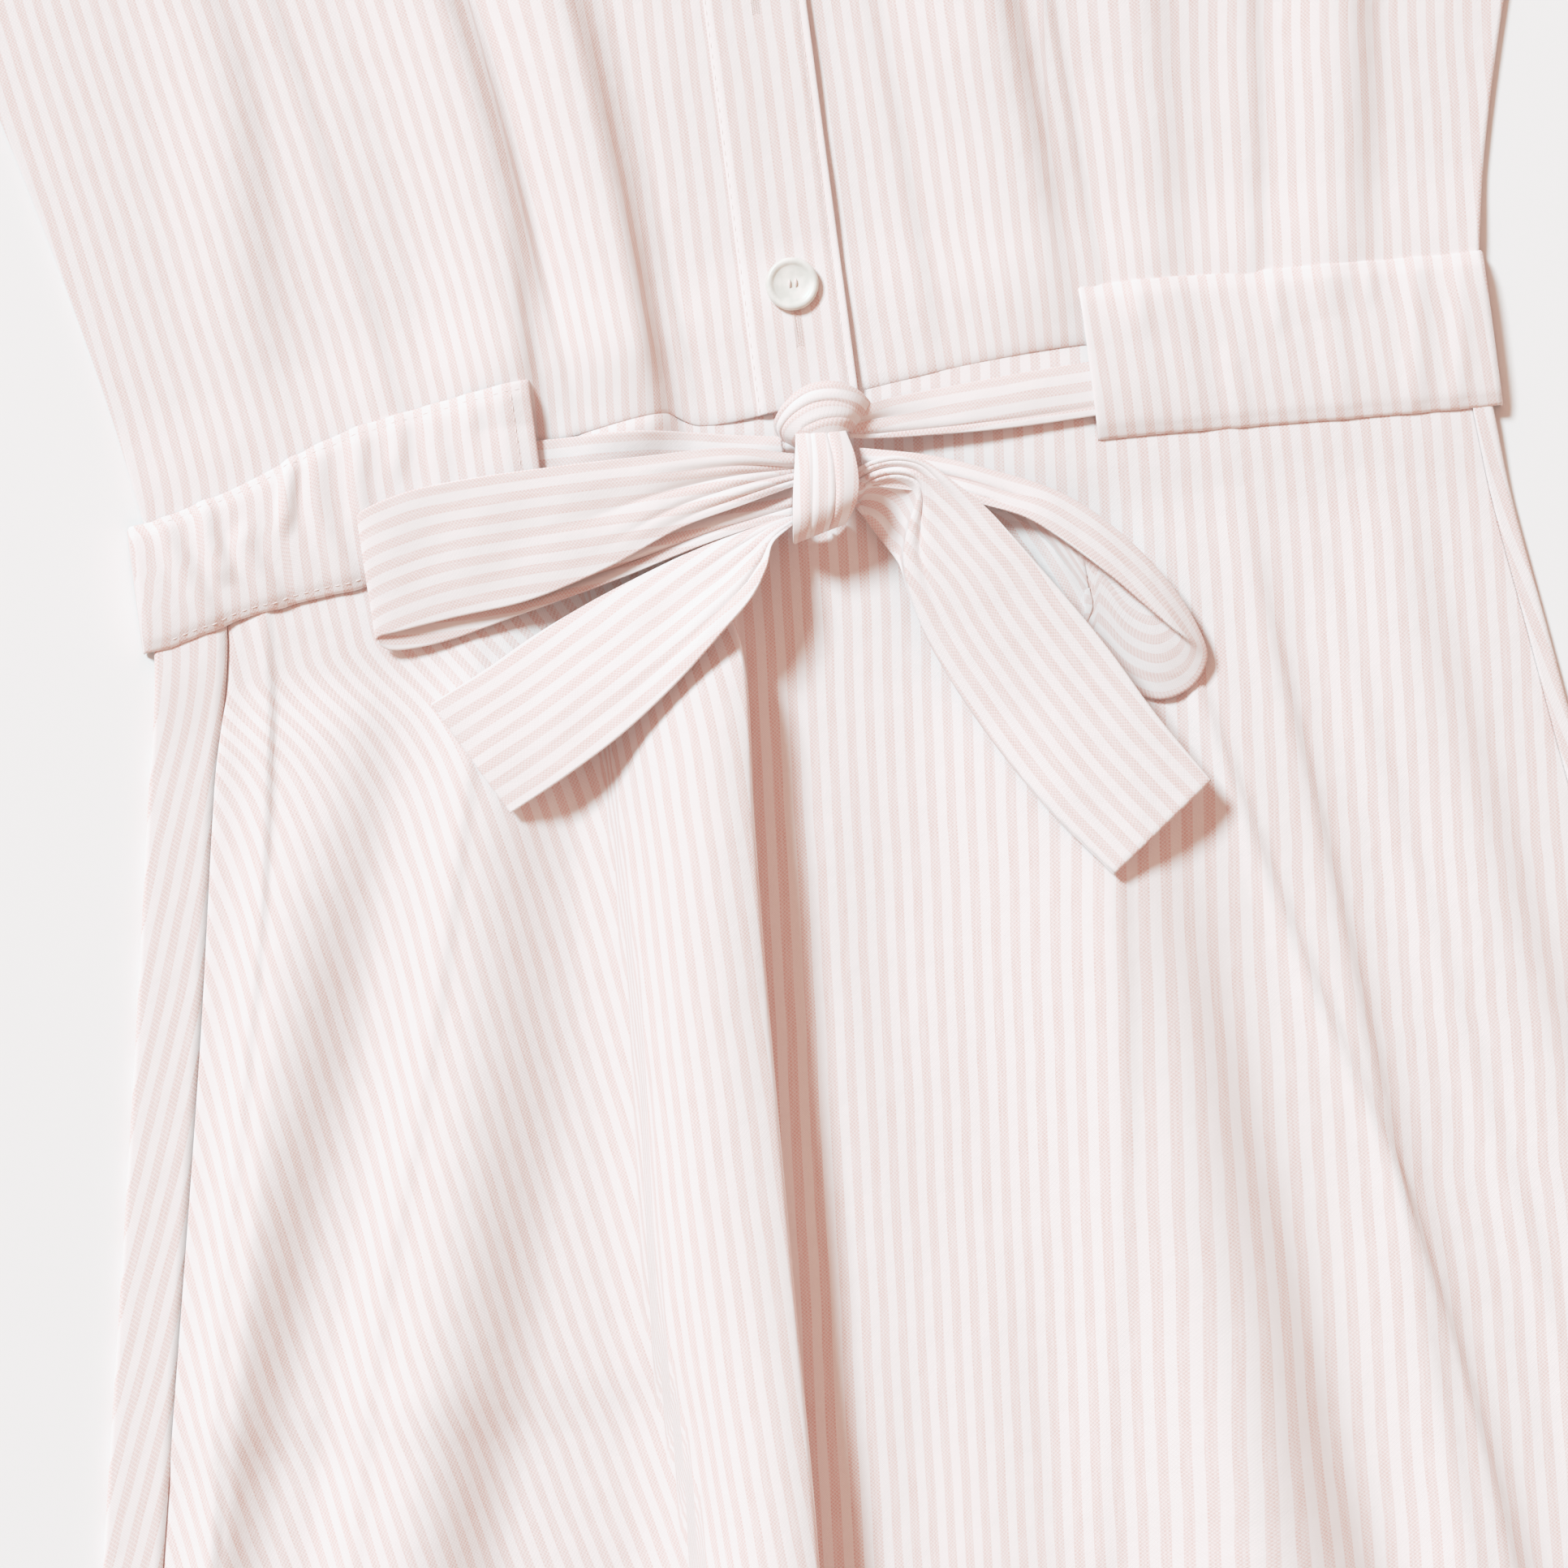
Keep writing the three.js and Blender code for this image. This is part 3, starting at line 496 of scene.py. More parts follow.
# %% [markdown]
# The laid form
#
# The outlines and layers are those of the frame. The folds on them follow the photograph where it
# shows them, and are guessed beyond its edge. Where the channel or the pocket lies under a layer,
# that layer rises over it, and the rows near the waist follow the waist seam, which dips to the
# picture's left.

# %% The laid form
CLOTH, GAP = 1.2, 0.3
LAYER = CLOTH + GAP
MID = CLOTH / 2
SKIRT_LENGTH = 680
SIDE_Y = [-680, -300, -153, -82, -42, 30]
EDGE_LEFT = [-306, -232, -203, -190, -183, -182]
SEAM_LEFT = [-292, -216, -185.5, -172, -163, -166]
SEAM_RIGHT = [296, 222, 192, 182, 177, 172]
EDGE_RIGHT = [301, 227, 197, 187, 182, 178]
BODICE_Y = [-30, 0, 50, 127, 200, 212, 250, 310, 405]
BODICE_HALF = [178, 178, 187, 210, 233, 228, 206, 195, 195]
WAIST_X = [-182, -155, -120, -74, -41, -30, -9, 16, 45, 75, 150, 182]
WAIST_Y = [-26, -21, -13, -4, 0.5, -4, -3, 0, 3, 4, -3, -6]
CHANNEL_Y = [-28, -21, -13, -7, -6, -5, -4, -3, -2, -1, -4.5, -6]


def fold(crest, rise, left, right, lean):
    """A fold: where its crest runs and how high it stands, from the lowest row up, its half widths
    to both sides, and how far the crest is pushed sideways for each millimetre that it rises."""
    return dict(crest=crest, rise=rise, left=left, right=right, lean=lean)


# The rows, in millimetres from the waist seam, at which the skirt's folds are given
FOLD_Y = [-680, -310, -240, -170, -110, -66, -38]
SKIRT_FOLDS = {
    "pocket": fold([-278, -222, -207, -188, -173, -162, -158], [5, 4, 4, 3, 2, 1, 0], 16, 12, 0.6),
    "side": fold([-240, -214, -194, -171, -153, -137, -127], [9, 8.6, 8, 7, 5.5, 2, 0], 24, 27, 0.35),
    "hip": fold([-172, -152, -134, -117, -107, -99, -94], [11, 10, 9.5, 8.5, 7, 3.5, 0], 28, 32, 0.35),
    "inner": fold([-100, -66, -66, -62, -60, -58, -56], [6, 5, 5, 4.5, 4, 2, 0], 11, 22, -0.3),
    "deep": fold([-80, -53.8, -50.7, -47.4, -44.3, -39.5, -36],
                 [20, 19, 18.5, 18, 18, 15, 0], 36, 12, 0.76),
    "floor": fold([34, 20, 24, 28, 30, 32, 34], [3, 3, 3, 3, 2.2, 0.8, 0], 32, 40, 0),
    "swing": fold([104, 70, 65, 60, 58, 60, 62], [21, 19, 16.5, 13, 8, 1.4, 0], 44, 48, 0.35),
    "outer": fold([190, 132, 122, 113, 106, 102, 100], [9, 6, 5, 4, 3.5, 2, 0], 30, 20, 0.6),
    "far": fold([255, 190, 178, 164, 154, 148, 146], [8, 5, 4, 4, 3, 2, 0], 26, 18, 0.5),
}
BODICE_FOLD_Y = [2, 20, 60, 115, 200, 330]
RIGHT_FRONT_FOLDS = {
    "chest": fold([-79, -80, -80, -88, -110, -140], [1.5, 6, 8, 7.4, 5, 0], 24, 14, 0.5),
    "centre": fold([-47, -49, -51, -57, -74, -98], [6, 9.5, 9, 7.6, 4, 0], 24, 15, 0.5),
    "flank": fold([-149, -149, -149, -149, -168, -182], [0, 1, 3, 3.2, 2.5, 0], 20, 16, 0.5),
}
LEFT_FRONT_FOLDS = {
    "bust": fold([66, 65, 61, 57, 64, 92], [0, 3, 6, 7.4, 6, 0], 28, 17, 0.45),
    "middle": fold([92, 94, 98, 102, 120, 140], [0, 1.5, 2, 2, 2, 0], 20, 13, 0.5),
    "rib": fold([140, 144, 150, 157, 176, 186], [0, 2, 3.6, 4.2, 3, 0], 20, 15, 0.5),
}

POCKET = dict(top=-77, bottom=-248, mouth_top=-78, mouth_bottom=-230, depth=118)
CHANNEL_HALF, CHANNEL_ARCH, STEP_FADE, SEAM_FADE, PUFF = 21, 1.4, 24, 150, 2


# %% [markdown]
# Lines and heights of the layers
#
# Every panel asks these for its outline, for the height of what lies under it and for its folds.

# %% Lines and heights of the layers
def seam_left(y):
    """Where the skirt's side seam lies at the picture's left."""
    return curve(SIDE_Y, SEAM_LEFT, y)


def seam_right(y):
    """The same at the right."""
    return curve(SIDE_Y, SEAM_RIGHT, y)


def bodice_half(y):
    """Half width of the bodice."""
    return curve(BODICE_Y, BODICE_HALF, y)


def channel_y(x):
    """Middle line of the waist channel."""
    return curve(WAIST_X, CHANNEL_Y, x)


def front_row(x, y):
    """Rows near the waist follow the waist seam and straighten out within SEAM_FADE."""
    return y + curve(WAIST_X, WAIST_Y, x) * soft(1 - np.abs(y) / SEAM_FADE)


def back_row(x, y):
    """The same for the back, whose rows follow the channel."""
    return y + channel_y(x) * soft(1 - np.abs(y) / SEAM_FADE)


def back_rise(x, y):
    """The back rises over the channel that lies under it."""
    return LAYER * soft(1 - (np.abs(y - channel_y(x)) - CHANNEL_HALF - 1) / STEP_FADE)


def front_level(x, y, half):
    """Underside of the front without its folds: one layer, the back's rise, a little air and
    the pocket bag."""
    air = PUFF * np.clip(1 - (x / half) ** 4, 0, 1) * soft((np.abs(y) - 30) / 90)
    bag = soft((POCKET["top"] + 22 - y) / 20) * soft((y - POCKET["bottom"] + 22) / 20)
    bag = bag * soft((seam_left(y) + POCKET["depth"] + 24 - x) / 20)
    return LAYER + back_rise(x, y) + air + LAYER * bag


def fold_at(folds, stations, x, y):
    """Sum of the folds: each is a squared cosine hump about its crest."""
    push = np.zeros(np.broadcast(x, y).shape)
    rise = push.copy()
    for fold in folds.values():
        away = x - curve(stations, fold["crest"], y)
        reach = np.where(away < 0, fold["left"], fold["right"])
        hump = np.cos(np.clip(away / reach, -1, 1) * np.pi / 2) ** 2
        high = curve(stations, fold["rise"], y) * hump
        rise = rise + high
        push = push + high * fold["lean"]
    return push, rise


def waist_fold(x, y):
    """The bodice's folds at the waist seam, carried on and faded out on the skirt."""
    up = y - curve(WAIST_X, WAIST_Y, x)
    right, left = (fold_at(folds, BODICE_FOLD_Y, x, np.maximum(y, 2))
                   for folds in (RIGHT_FRONT_FOLDS, LEFT_FRONT_FOLDS))
    return [np.where(x < 0, right[k], left[k]) * soft((up + 20) / 20) for k in (0, 1)]


def between(stops, u):
    """Position within a row of stops that share the fractions evenly."""
    spans = len(stops) - 1
    span = np.minimum(np.floor(u * spans).astype(int), spans - 1)
    part = u * spans - span
    low = np.choose(span, stops[:-1])
    high = np.choose(span, stops[1:])
    return lerp(low, high, part)


def swell(x, y, seed, size=26.0):
    """Slow unevenness of laid cloth: five sine waves in directions and phases of their own,
    between about -1 and 1."""
    random = np.random.default_rng(seed)
    total = np.zeros(np.broadcast(x, y).shape)
    turns, phases = random.uniform(0, np.pi, 5), random.uniform(0, 6.28, 5)
    scales = random.uniform(0.7, 1.6, 5)
    for turn, phase, scale in zip(turns, phases, scales):
        way = x * np.cos(turn) + y * np.sin(turn) * 0.45
        total = total + np.sin(way / (size * scale) * 2 * np.pi + phase)
    return total / 3


# %% [markdown]
# Skirt front
#
# The skirt is one A-line panel in front. Its folds fall from the waist: a deep one left of the
# centre that laps over like a lobe and throws a sharp shadow, and gentler ones to both sides.

# %% Skirt front
# Fine creases that the frame leaves out
SKIRT_CREASES = {
    "pocket_edge": fold([-262, -205, -194, -178, -164, -156, -153],
                        [1.4, 1.6, 1.9, 2, 2, 1.8, 1.2], 9, 2.6, 0.5),
    "fine_left": fold([-215, -168, -152, -130, -113, -101, -96],
                      [1.2, 1.4, 1.5, 1.4, 1.2, 0.6, 0], 10, 5, 0.5),
    "fine_right": fold([160, 139, 127, 108, 94, 86, 84], [0, 0.8, 1.6, 2, 1.8, 1, 0], 5, 3.4, 0.4),
    "lap": fold([0, 36, 46, 55, 62, 66, 68], [0.8, 1.2, 1.3, 1.2, 0.8, 0.3, 0], 12, 5, 0.6),
    "right_faint": fold([150, 128, 125, 121, 115, 111, 110],
                        [0.9, 1, 1.1, 1.2, 1.2, 0.8, 0.3], 9, 5, 0.5),
    "outer_faint": fold([220, 170, 158, 146, 136, 130, 127], [1, 1.2, 1.2, 1.1, 0.9, 0.5, 0], 9, 5, 0.5),
}
SEAM_DIP = 0.55
SEAM_TUCK, SEAM_TUCK_DOWN = 0.5, 0.7   # the skirt's top edge goes in under the bodice
SIDE_LAP = 0.1
FOLD_FADE = 18                         # folds run out this far from the side seams
SWELL_HEIGHT = 0.3


def dip(distance, reach=2.2):
    """A seam pulls the cloth down beside it."""
    return SEAM_DIP * (1 - soft(distance / reach))


def skirt_front(u, v):
    """Points of the panel, and where across each of them lay before the folds pushed it."""
    y = -v * SKIRT_LENGTH
    tuck = 1 - soft(-y / 2)
    left = seam_left(front_row(-170, y)) - SIDE_LAP
    right = seam_right(front_row(175, y)) + SIDE_LAP
    crest = curve(FOLD_Y, SKIRT_FOLDS["deep"]["crest"], y)
    stops = np.broadcast_arrays(left, crest, crest + SKIRT_FOLDS["deep"]["right"], right)
    x = between(stops, u)
    down = front_row(x, y)
    push, rise = fold_at({**SKIRT_FOLDS, **SKIRT_CREASES}, FOLD_Y, x, down)
    waist_push, waist_rise = waist_fold(x, down)
    push = push + waist_push
    edge = soft(np.minimum(x - left, right - x) / FOLD_FADE)
    level = front_level(x, down, right) + np.maximum(rise, waist_rise) * edge
    calm = soft((-y - 10) / 60) * edge
    level = level + SWELL_HEIGHT * calm * swell(x, y, 3)
    level = level - dip(-y) - SEAM_TUCK * tuck - 0.5 * dip(x - left) - 0.5 * dip(right - x)
    level = np.maximum(level, back_rise(x, down) + CLOTH + 0.1)
    return stack(x + push * edge, down + SEAM_TUCK_DOWN * tuck, level + MID), x


# %% [markdown]
# Stripes of the skirt front
#
# On the left of the deep fold the panel is pulled round, so the stripes lean in as they go down. On
# its right they are counted from a line of their own.

# %% Stripes of the skirt front
VALLEY_X = [-114, -76, -76, -71.5, -69.5, -67.5, -66]   # left of the deep fold, at the rows of FOLD_Y
HOLD_LEFT, HOLD_RIGHT = -50.0, 10.0    # the stripes are counted from these two lines
RIGHT_SPREAD, RIGHT_START = 0.945, 60  # right of the deep fold they are a little wider


def skirt_map(points, flat_x):
    """Length over the folds, from a line on each side of the deep fold, so its hidden flank takes
    up the difference, with the lean of each side."""
    along = lengths(points, 0)
    down = -points[..., 1]
    rows = range(points.shape[1])
    left_of, right_of = (np.array([np.interp(at, flat_x[:, j], along[:, j]) for j in rows])
                         for at in (HOLD_LEFT, HOLD_RIGHT))
    left_lean = -(0.12 * down + 0.000135 * down ** 2)
    right_lean = down * curve([-20, 40, 110, 200], [0.075, 0.09, 0.03, 0.01], flat_x)
    share_left = soft((curve(FOLD_Y, VALLEY_X, -down) + 1.5 - flat_x) / 3)
    crest = curve(FOLD_Y, SKIRT_FOLDS["deep"]["crest"], -down)
    share_right = soft((flat_x - crest - 2) / 9)
    on_left = along - left_of + left_lean * share_left
    on_right = (along - right_of) * RIGHT_SPREAD + RIGHT_START + right_lean
    return np.stack([lerp(on_left, on_right, share_right), down], axis=-1)


skirt_u = edged(shared(104, 26, 104), 400)
skirt_v = edged(even(196) ** 1.25, 680)
U, V = grid(skirt_u, skirt_v)
skirt_points, skirt_flat = skirt_front(U, V)
cloth("skirt_front", skirt_points, skirt_map(skirt_points, skirt_flat), (0.66, 0.68), "laid",
      area=0.36, rests_on=["skirt_back"])

# %% [markdown]
# Skirt back
#
# The back lies flat on the table, and its two edges are turned round onto the front as far as the
# side seams, as they do where a laid dress is smoothed with its seams a little forward.

# %% Skirt back
TURN_RADIUS = LAYER / 2


def turned_back(left, seam_at_left, right, seam_at_right, low, u):
    """Flat strip, half circle, flat back, half circle, flat strip."""
    part = np.minimum(np.floor(u * 5).astype(int), 4)
    t = u * 5 - part
    high = low + 2 * TURN_RADIUS
    angle = t * np.pi
    x = np.choose(part, [lerp(seam_at_left, left, t), left - TURN_RADIUS * np.sin(angle),
                         lerp(left, right, t), right + TURN_RADIUS * np.sin(angle),
                         lerp(right, seam_at_right, t)])
    z = np.choose(part, [high + 0 * t, low + TURN_RADIUS * (1 + np.cos(angle)), low + 0 * t,
                         low + TURN_RADIUS * (1 - np.cos(angle)), high + 0 * t])
    return x, z


def skirt_back(u, v):
    y = -v * SKIRT_LENGTH
    left_y, right_y = back_row(-170, y), back_row(175, y)
    x, z = turned_back(curve(SIDE_Y, EDGE_LEFT, left_y) + TURN_RADIUS, seam_left(left_y) - SIDE_LAP,
                       curve(SIDE_Y, EDGE_RIGHT, right_y) - TURN_RADIUS, seam_right(right_y) + SIDE_LAP,
                       MID, u)
    down = back_row(x, y)
    return stack(x, down, z + back_rise(x, down))


U, V = grid(edged(shared(6, 8, 60, 8, 6), 620), edged(even(90) ** 1.25, 680))
points = skirt_back(U, V)
cloth("skirt_back", points, middle_map(points), (0.66, 0.68), "laid", area=0.36, **FULL_WALL)

# %% [markdown]
# Bodice
#
# The bodice is a back and two fronts. The right front carries the button band and laps over the
# left one. Soft folds run up from the gathered waist, and the stripes fan out a little from it.

# %% Bodice
SHOULDER_TIP, NECK_POINT = (195, 375), (75, 405)
FRONT_NECK_Y, BACK_NECK_Y = 332, 392
BAND_LEFT, BAND_RIGHT, UNDERLAP_X = -13.4, 13, -11
WRAP, WRAP_STRIP = 1.8, 3
BODICE_LEAN_X = [-200, -150, -125, -100, -80, -55, -35, 0, 35, 60, 85, 118, 150, 200]
BODICE_LEAN = [0.2, 0.22, 0.23, 0.22, 0.18, 0.06, 0.01, 0, 0.03, -0.02, -0.1, -0.18, -0.19, -0.18]


def bodice_top(x, neck_y):
    """Shoulder line, then the round of the neck."""
    side = np.abs(x)
    t = np.clip((side - NECK_POINT[0]) / (SHOULDER_TIP[0] - NECK_POINT[0]), 0, 1)
    shoulder = lerp(NECK_POINT[1], SHOULDER_TIP[1], t)
    bow = np.sqrt(np.maximum(1 - (side / (NECK_POINT[0] + 2)) ** 2, 0))
    return np.where(side > NECK_POINT[0], shoulder, lerp(NECK_POINT[1], neck_y, bow))


def bodice_back(u, v):
    across = u * 2 - 1
    y = lerp(0, bodice_top(across * SHOULDER_TIP[0], BACK_NECK_Y), v)
    x = across * bodice_half(y)
    up = back_row(x, y)
    return stack(x, up, MID + back_rise(x, up))


def wrapped(flat, side, over, level, low):
    """The last strip of a front goes out past the back's edge and down to the table."""
    out = np.clip(over * 2, 0, 1) * (WRAP_STRIP + WRAP) - np.clip(over, 0, 1) * WRAP_STRIP
    return flat + side * out, lerp(level, low, np.clip(over * 2 - 1, 0, 1))


def bodice_front(centre_x, side, folds, lap, u, v):
    """Points of a front, and where across each of them lay before the folds pushed it."""
    top_x = lerp(centre_x, side * SHOULDER_TIP[0], np.minimum(u * 2, 1))
    y = lerp(0, bodice_top(top_x, FRONT_NECK_Y), v)
    half = bodice_half(y)
    flat = between(np.broadcast_arrays(centre_x + 0 * y, side * (half - WRAP_STRIP), side * half), u)
    up = front_row(flat, y)
    push, rise = fold_at(folds, BODICE_FOLD_Y, flat, up)
    near = soft((half - np.abs(flat)) / 18) * soft(np.abs(flat - centre_x) / 14)
    lapped = lap * (1 - soft(np.abs(flat - centre_x) / 26))
    level = front_level(flat, up, half) + rise * near + lapped - dip(y)
    level = level + 0.28 * near * soft((y - 8) / 50) * swell(flat, y, 5 + side)
    x, z = wrapped(flat + push * near, side, u * 2 - 1, level, 0)
    return stack(x, up, z + MID), flat


def bodice_map(points, flat_x, start):
    """Length over the folds from the front edge, with the fan of the stripes."""
    along = lengths(points, 0)
    sign = 1 if start > UNDERLAP_X - 1 else -1
    up = points[..., 1]
    lean = curve(BODICE_LEAN_X, BODICE_LEAN, flat_x) * (up - 60)
    return np.stack([start + sign * along + lean, up], axis=-1)


# %% [markdown]
# Bodice pieces
#
# The folds of the fronts are joined by fine creases, each front by its own.

# %% Bodice pieces
BODICE_CREASES_RIGHT = {
    **RIGHT_FRONT_FOLDS,
    "left_faint": fold([-112, -114, -120, -130, -150, -170], [0.4, 1, 1.3, 1.4, 1, 0], 12, 6, 0.5),
    "gather": fold([-66, -68, -72, -78, -95, -120], [0.8, 1.5, 1, 0.6, 0.2, 0], 6, 4, 0.5),
    "small": fold([-33, -35, -38, -44, -60, -80], [0.6, 1.2, 1.1, 0.8, 0.4, 0], 8, 5, 0.4),
}
BODICE_CREASES_LEFT = {
    **LEFT_FRONT_FOLDS,
    "inner_faint": fold([32, 32, 30, 28, 34, 50], [0.2, 0.8, 1, 1, 0.8, 0], 12, 6, 0.5),
    "fine": fold([80, 79, 77, 76, 90, 112], [0, 0.8, 1.2, 1.2, 0.8, 0], 8, 4, 0.5),
    "edge_faint": fold([120, 121, 126, 132, 148, 165], [0, 0.8, 1.2, 1.3, 1, 0], 12, 6, 0.5),
}

U, V = grid(edged(even(70), 380), edged(even(70) ** 1.2, 400))
points = bodice_back(U, V)
cloth("bodice_back", points, middle_map(points), (0.48, 0.405), "laid", area=0.17, **FULL_WALL)

bodice_v = edged(even(130) ** 1.15, 370)
U, V = grid(edged(shared(150, 14), 200), bodice_v)
points, flat = bodice_front(BAND_LEFT, -1, BODICE_CREASES_RIGHT, LAYER, U, V)
cloth("bodice_front_right", points, bodice_map(points, flat, BAND_LEFT - 0.01), (0.24, 0.405), "laid",
      area=0.075, rests_on=["bodice_back"])
points, flat = bodice_front(UNDERLAP_X, 1, BODICE_CREASES_LEFT, 0, U, V)
cloth("bodice_front_left", points, bodice_map(points, flat, UNDERLAP_X), (0.24, 0.405), "laid",
      area=0.08, rests_on=["bodice_back"])

# %% [markdown]
# Button band
#
# A folded strip on the right front, with a row of stitches near each edge. The fold at its right
# edge stands a little off the left front, so a thin dark line runs beside it.

# %% Button band
BAND_EASE, BAND_LIFT = 0.35, 0.55
BAND_START, BAND_TOP = BAND_LEFT - 1.4, FRONT_NECK_Y - 4
BAND_STITCH = 2.2   # from the fold to its row of stitches


def band(u, v):
    """Points of the band. Its left edge is pressed down, and its right one stands off."""
    x = lerp(BAND_START, BAND_RIGHT, u)
    y = lerp(0, BAND_TOP, v)
    up = front_row(x, y)
    lift = LAYER + BAND_EASE + BAND_LIFT * soft(u * 2 - 1) - (1 - soft(u / 0.09)) - dip(y) * 0.6
    groove = 0.4 * np.exp(-((x - BAND_RIGHT + BAND_STITCH) / 0.7) ** 2)
    wave = 0.16 * swell(x * 0.3, y, 12, 14) * soft(u * 2 - 0.6)
    return stack(x, up, front_level(x, up, bodice_half(y)) + MID + lift + wave - groove)


def band_at(x, y):
    """The band's u and v at a place in millimetres."""
    return (x - BAND_START) / (BAND_RIGHT - BAND_START), y / BAND_TOP


U, V = grid(edged(even(44), 28), edged(even(170) ** 1.15, 330))
points = band(U, V)
band_map = simple_map(points)
band_map[..., 0] += BAND_LEFT
cloth("button_band", points, band_map, (0.03, 0.33), "laid", rests_on=["bodice_front_right"])

# %% [markdown]
# Waist channel
#
# A strip of the same cloth is sewn over the waist along both its edges, and the tie runs inside
# it. Where the tie is drawn up, at the picture's left, the strip is gathered into short puckers
# that fade towards the stitches. It stops on both sides of the bow, and the tie comes out there.

# %% Waist channel
# Each pucker: x at the upper edge, middle and lower edge, the two ends across the strip (1 is the
# upper edge, -1 the lower one), height and half width
PUCKERS = [
    (-177, -172, -165, 1.2, -1.2, 1.5, 4.6), (-165, -163, -155, 1.2, -0.5, 1.7, 4.2),
    (-153, -155, -148, 0.5, -1.2, 1.5, 4.8), (-140, -143.5, -141, 1.2, -0.1, 2.3, 3.6),
    (-133, -134, -128, 1.2, -1.2, 1.2, 5.4), (-121, -123, -120, 1.2, -0.4, 1.1, 4.4),
    (-110, -112, -112, 1.2, 0.1, 1.0, 4.2), (-101, -101, -103, 1.2, -1.2, 0.7, 5.4),
    (-91, -90, -91, 1.2, 0.3, 0.8, 3.8), (-81, -82, -82, 1.2, -1.2, 0.5, 5),
    (90, 91, 92, 1.2, 0.2, 0.6, 4), (101, 101, 103, 1.2, -1.2, 0.5, 7),
    (114, 113, 114, 0.2, -1.2, 0.6, 4.6), (127, 126, 125, 1.2, 0, 0.7, 4.4),
    (140, 141, 141, 1.2, -1.2, 0.6, 6), (153, 151, 152, 1.2, 0.3, 0.7, 4),
    (165, 163, 160, 1.2, -1.2, 0.8, 5.4), (177, 175, 171, 1.2, -1.2, 0.7, 4.8),
]


# %% [markdown]
# The strip over the waist
#
# It lies on the fronts, arches over the tie inside it and is pressed down by its stitches.

# %% The strip over the waist
def front_top(x, y):
    """Upper face of the two fronts near the waist."""
    skirt = fold_at(SKIRT_FOLDS, FOLD_Y, x, y)[1]
    return front_level(x, y, bodice_half(0)) + CLOTH + np.maximum(skirt, waist_fold(x, y)[1])


def channel_half(x):
    """Half width of the strip, drawn in by the gathers at the picture's far left."""
    return CHANNEL_HALF - 4.2 * soft((-118 - x) / 44)


CHANNEL_EASE = 2.4
CHANNEL_STITCH = 2.3                                 # from each edge to its row of stitches
CHANNELS = {"right": (-74, -1), "left": (75, 1)}     # where each ends beside the bow, and its side


def channel(end_x, side, u, v):
    """Points of one strip: arched over the tie, gathered, and wrapped down at the dress's side."""
    outer = float(curve(SIDE_Y, EDGE_LEFT if side < 0 else EDGE_RIGHT, -20))
    flat = between(np.broadcast_arrays(end_x + 0 * u, outer - side * WRAP_STRIP + 0 * u, outer + 0 * u), u)
    across = 1 - 2 * v
    y = channel_y(flat) + across * channel_half(flat)
    filled = CHANNEL_ARCH + 1.4 * (1 - soft((np.abs(flat - end_x) - 12) / 24))
    arch = filled * (1 - np.abs(across) ** 2.6) * (1 - 0.35 * soft(u * 2 - 1))
    gather = np.zeros_like(flat)
    for upper, middle, lower, first, last, rise, half in PUCKERS:
        bent = flat - curve([-1, 0, 1], [lower, middle, upper], across)
        present = soft((first - across) / 0.4) * soft((across - last) / 0.4)
        gather = gather + rise * present * np.cos(np.clip(bent / half, -1, 1) * np.pi / 2) ** 2
    fade = (1 - 0.8 * np.abs(across) ** 6) * soft(np.abs(flat - end_x) / 8)
    from_stitches = np.abs(across) * CHANNEL_HALF - CHANNEL_HALF + CHANNEL_STITCH
    groove = 0.3 * np.exp(-(from_stitches / 0.8) ** 2)
    settle = 1.3 * np.abs(across) ** 14
    level = front_top(flat, y) + 2 * GAP + arch + gather * fade - groove - settle
    edge = soft(np.abs(flat - end_x) / 1.5)
    x, z = wrapped(flat, side, u * 2 - 1, level - 0.2 * (1 - edge), 0)
    scallop = 0.45 * gather * across ** 3
    return stack(x + side * CHANNEL_EASE * np.clip(u * 2 - 1, 0, 1), y + scallop, z + MID)


def channel_back(u, v):
    x = lerp(EDGE_LEFT[-1] + 4, EDGE_RIGHT[-1] - 0.5, u)
    return stack(x, channel_y(x) + (1 - 2 * v) * CHANNEL_HALF, MID + 0 * x)


for name, (end_x, side) in CHANNELS.items():
    U, V = grid(edged(shared(96, 8), 112), edged(even(42), 42))
    points = channel(end_x, side, U, V)
    strip_map = simple_map(points)
    strip_map[..., 0] = end_x + side * strip_map[..., 0] - 0.03 * strip_map[..., 1]
    cloth(f"waist_channel_{name}", points, strip_map, (0.125, 0.05), "laid", rests_on=["skirt_front"])
U, V = grid(edged(even(60), 350), edged(even(10), 42))
points = channel_back(U, V)
cloth("waist_channel_back", points, simple_map(points), (0.36, 0.045), "laid", **FULL_WALL)

# %% [markdown]
# Pocket bag
#
# The bag of the side-seam pocket lies between the two skirt layers, and only raises the front.

# %% Pocket bag
def pocket(u, v):
    y = lerp(POCKET["top"], POCKET["bottom"], v)
    belly = 1 - np.abs(2 * v - 1) ** 4 * 0.45
    return stack(seam_left(y) + 2 + POCKET["depth"] * belly * u, y, LAYER + MID + 0 * u)


U, V = grid(edged(even(16), 110), edged(even(20), 170))
points = pocket(U, V)
cloth("pocket_bag", points, simple_map(points), (0.13, 0.18), "laid", rests_on=["skirt_back"],
      **FULL_WALL)

# %% [markdown]
# The tie
#
# The tie is a flat strip of doubled cotton about 35 mm wide, with its stripes along it. Each
# stretch that shows has two edges, read off the photograph station by station.

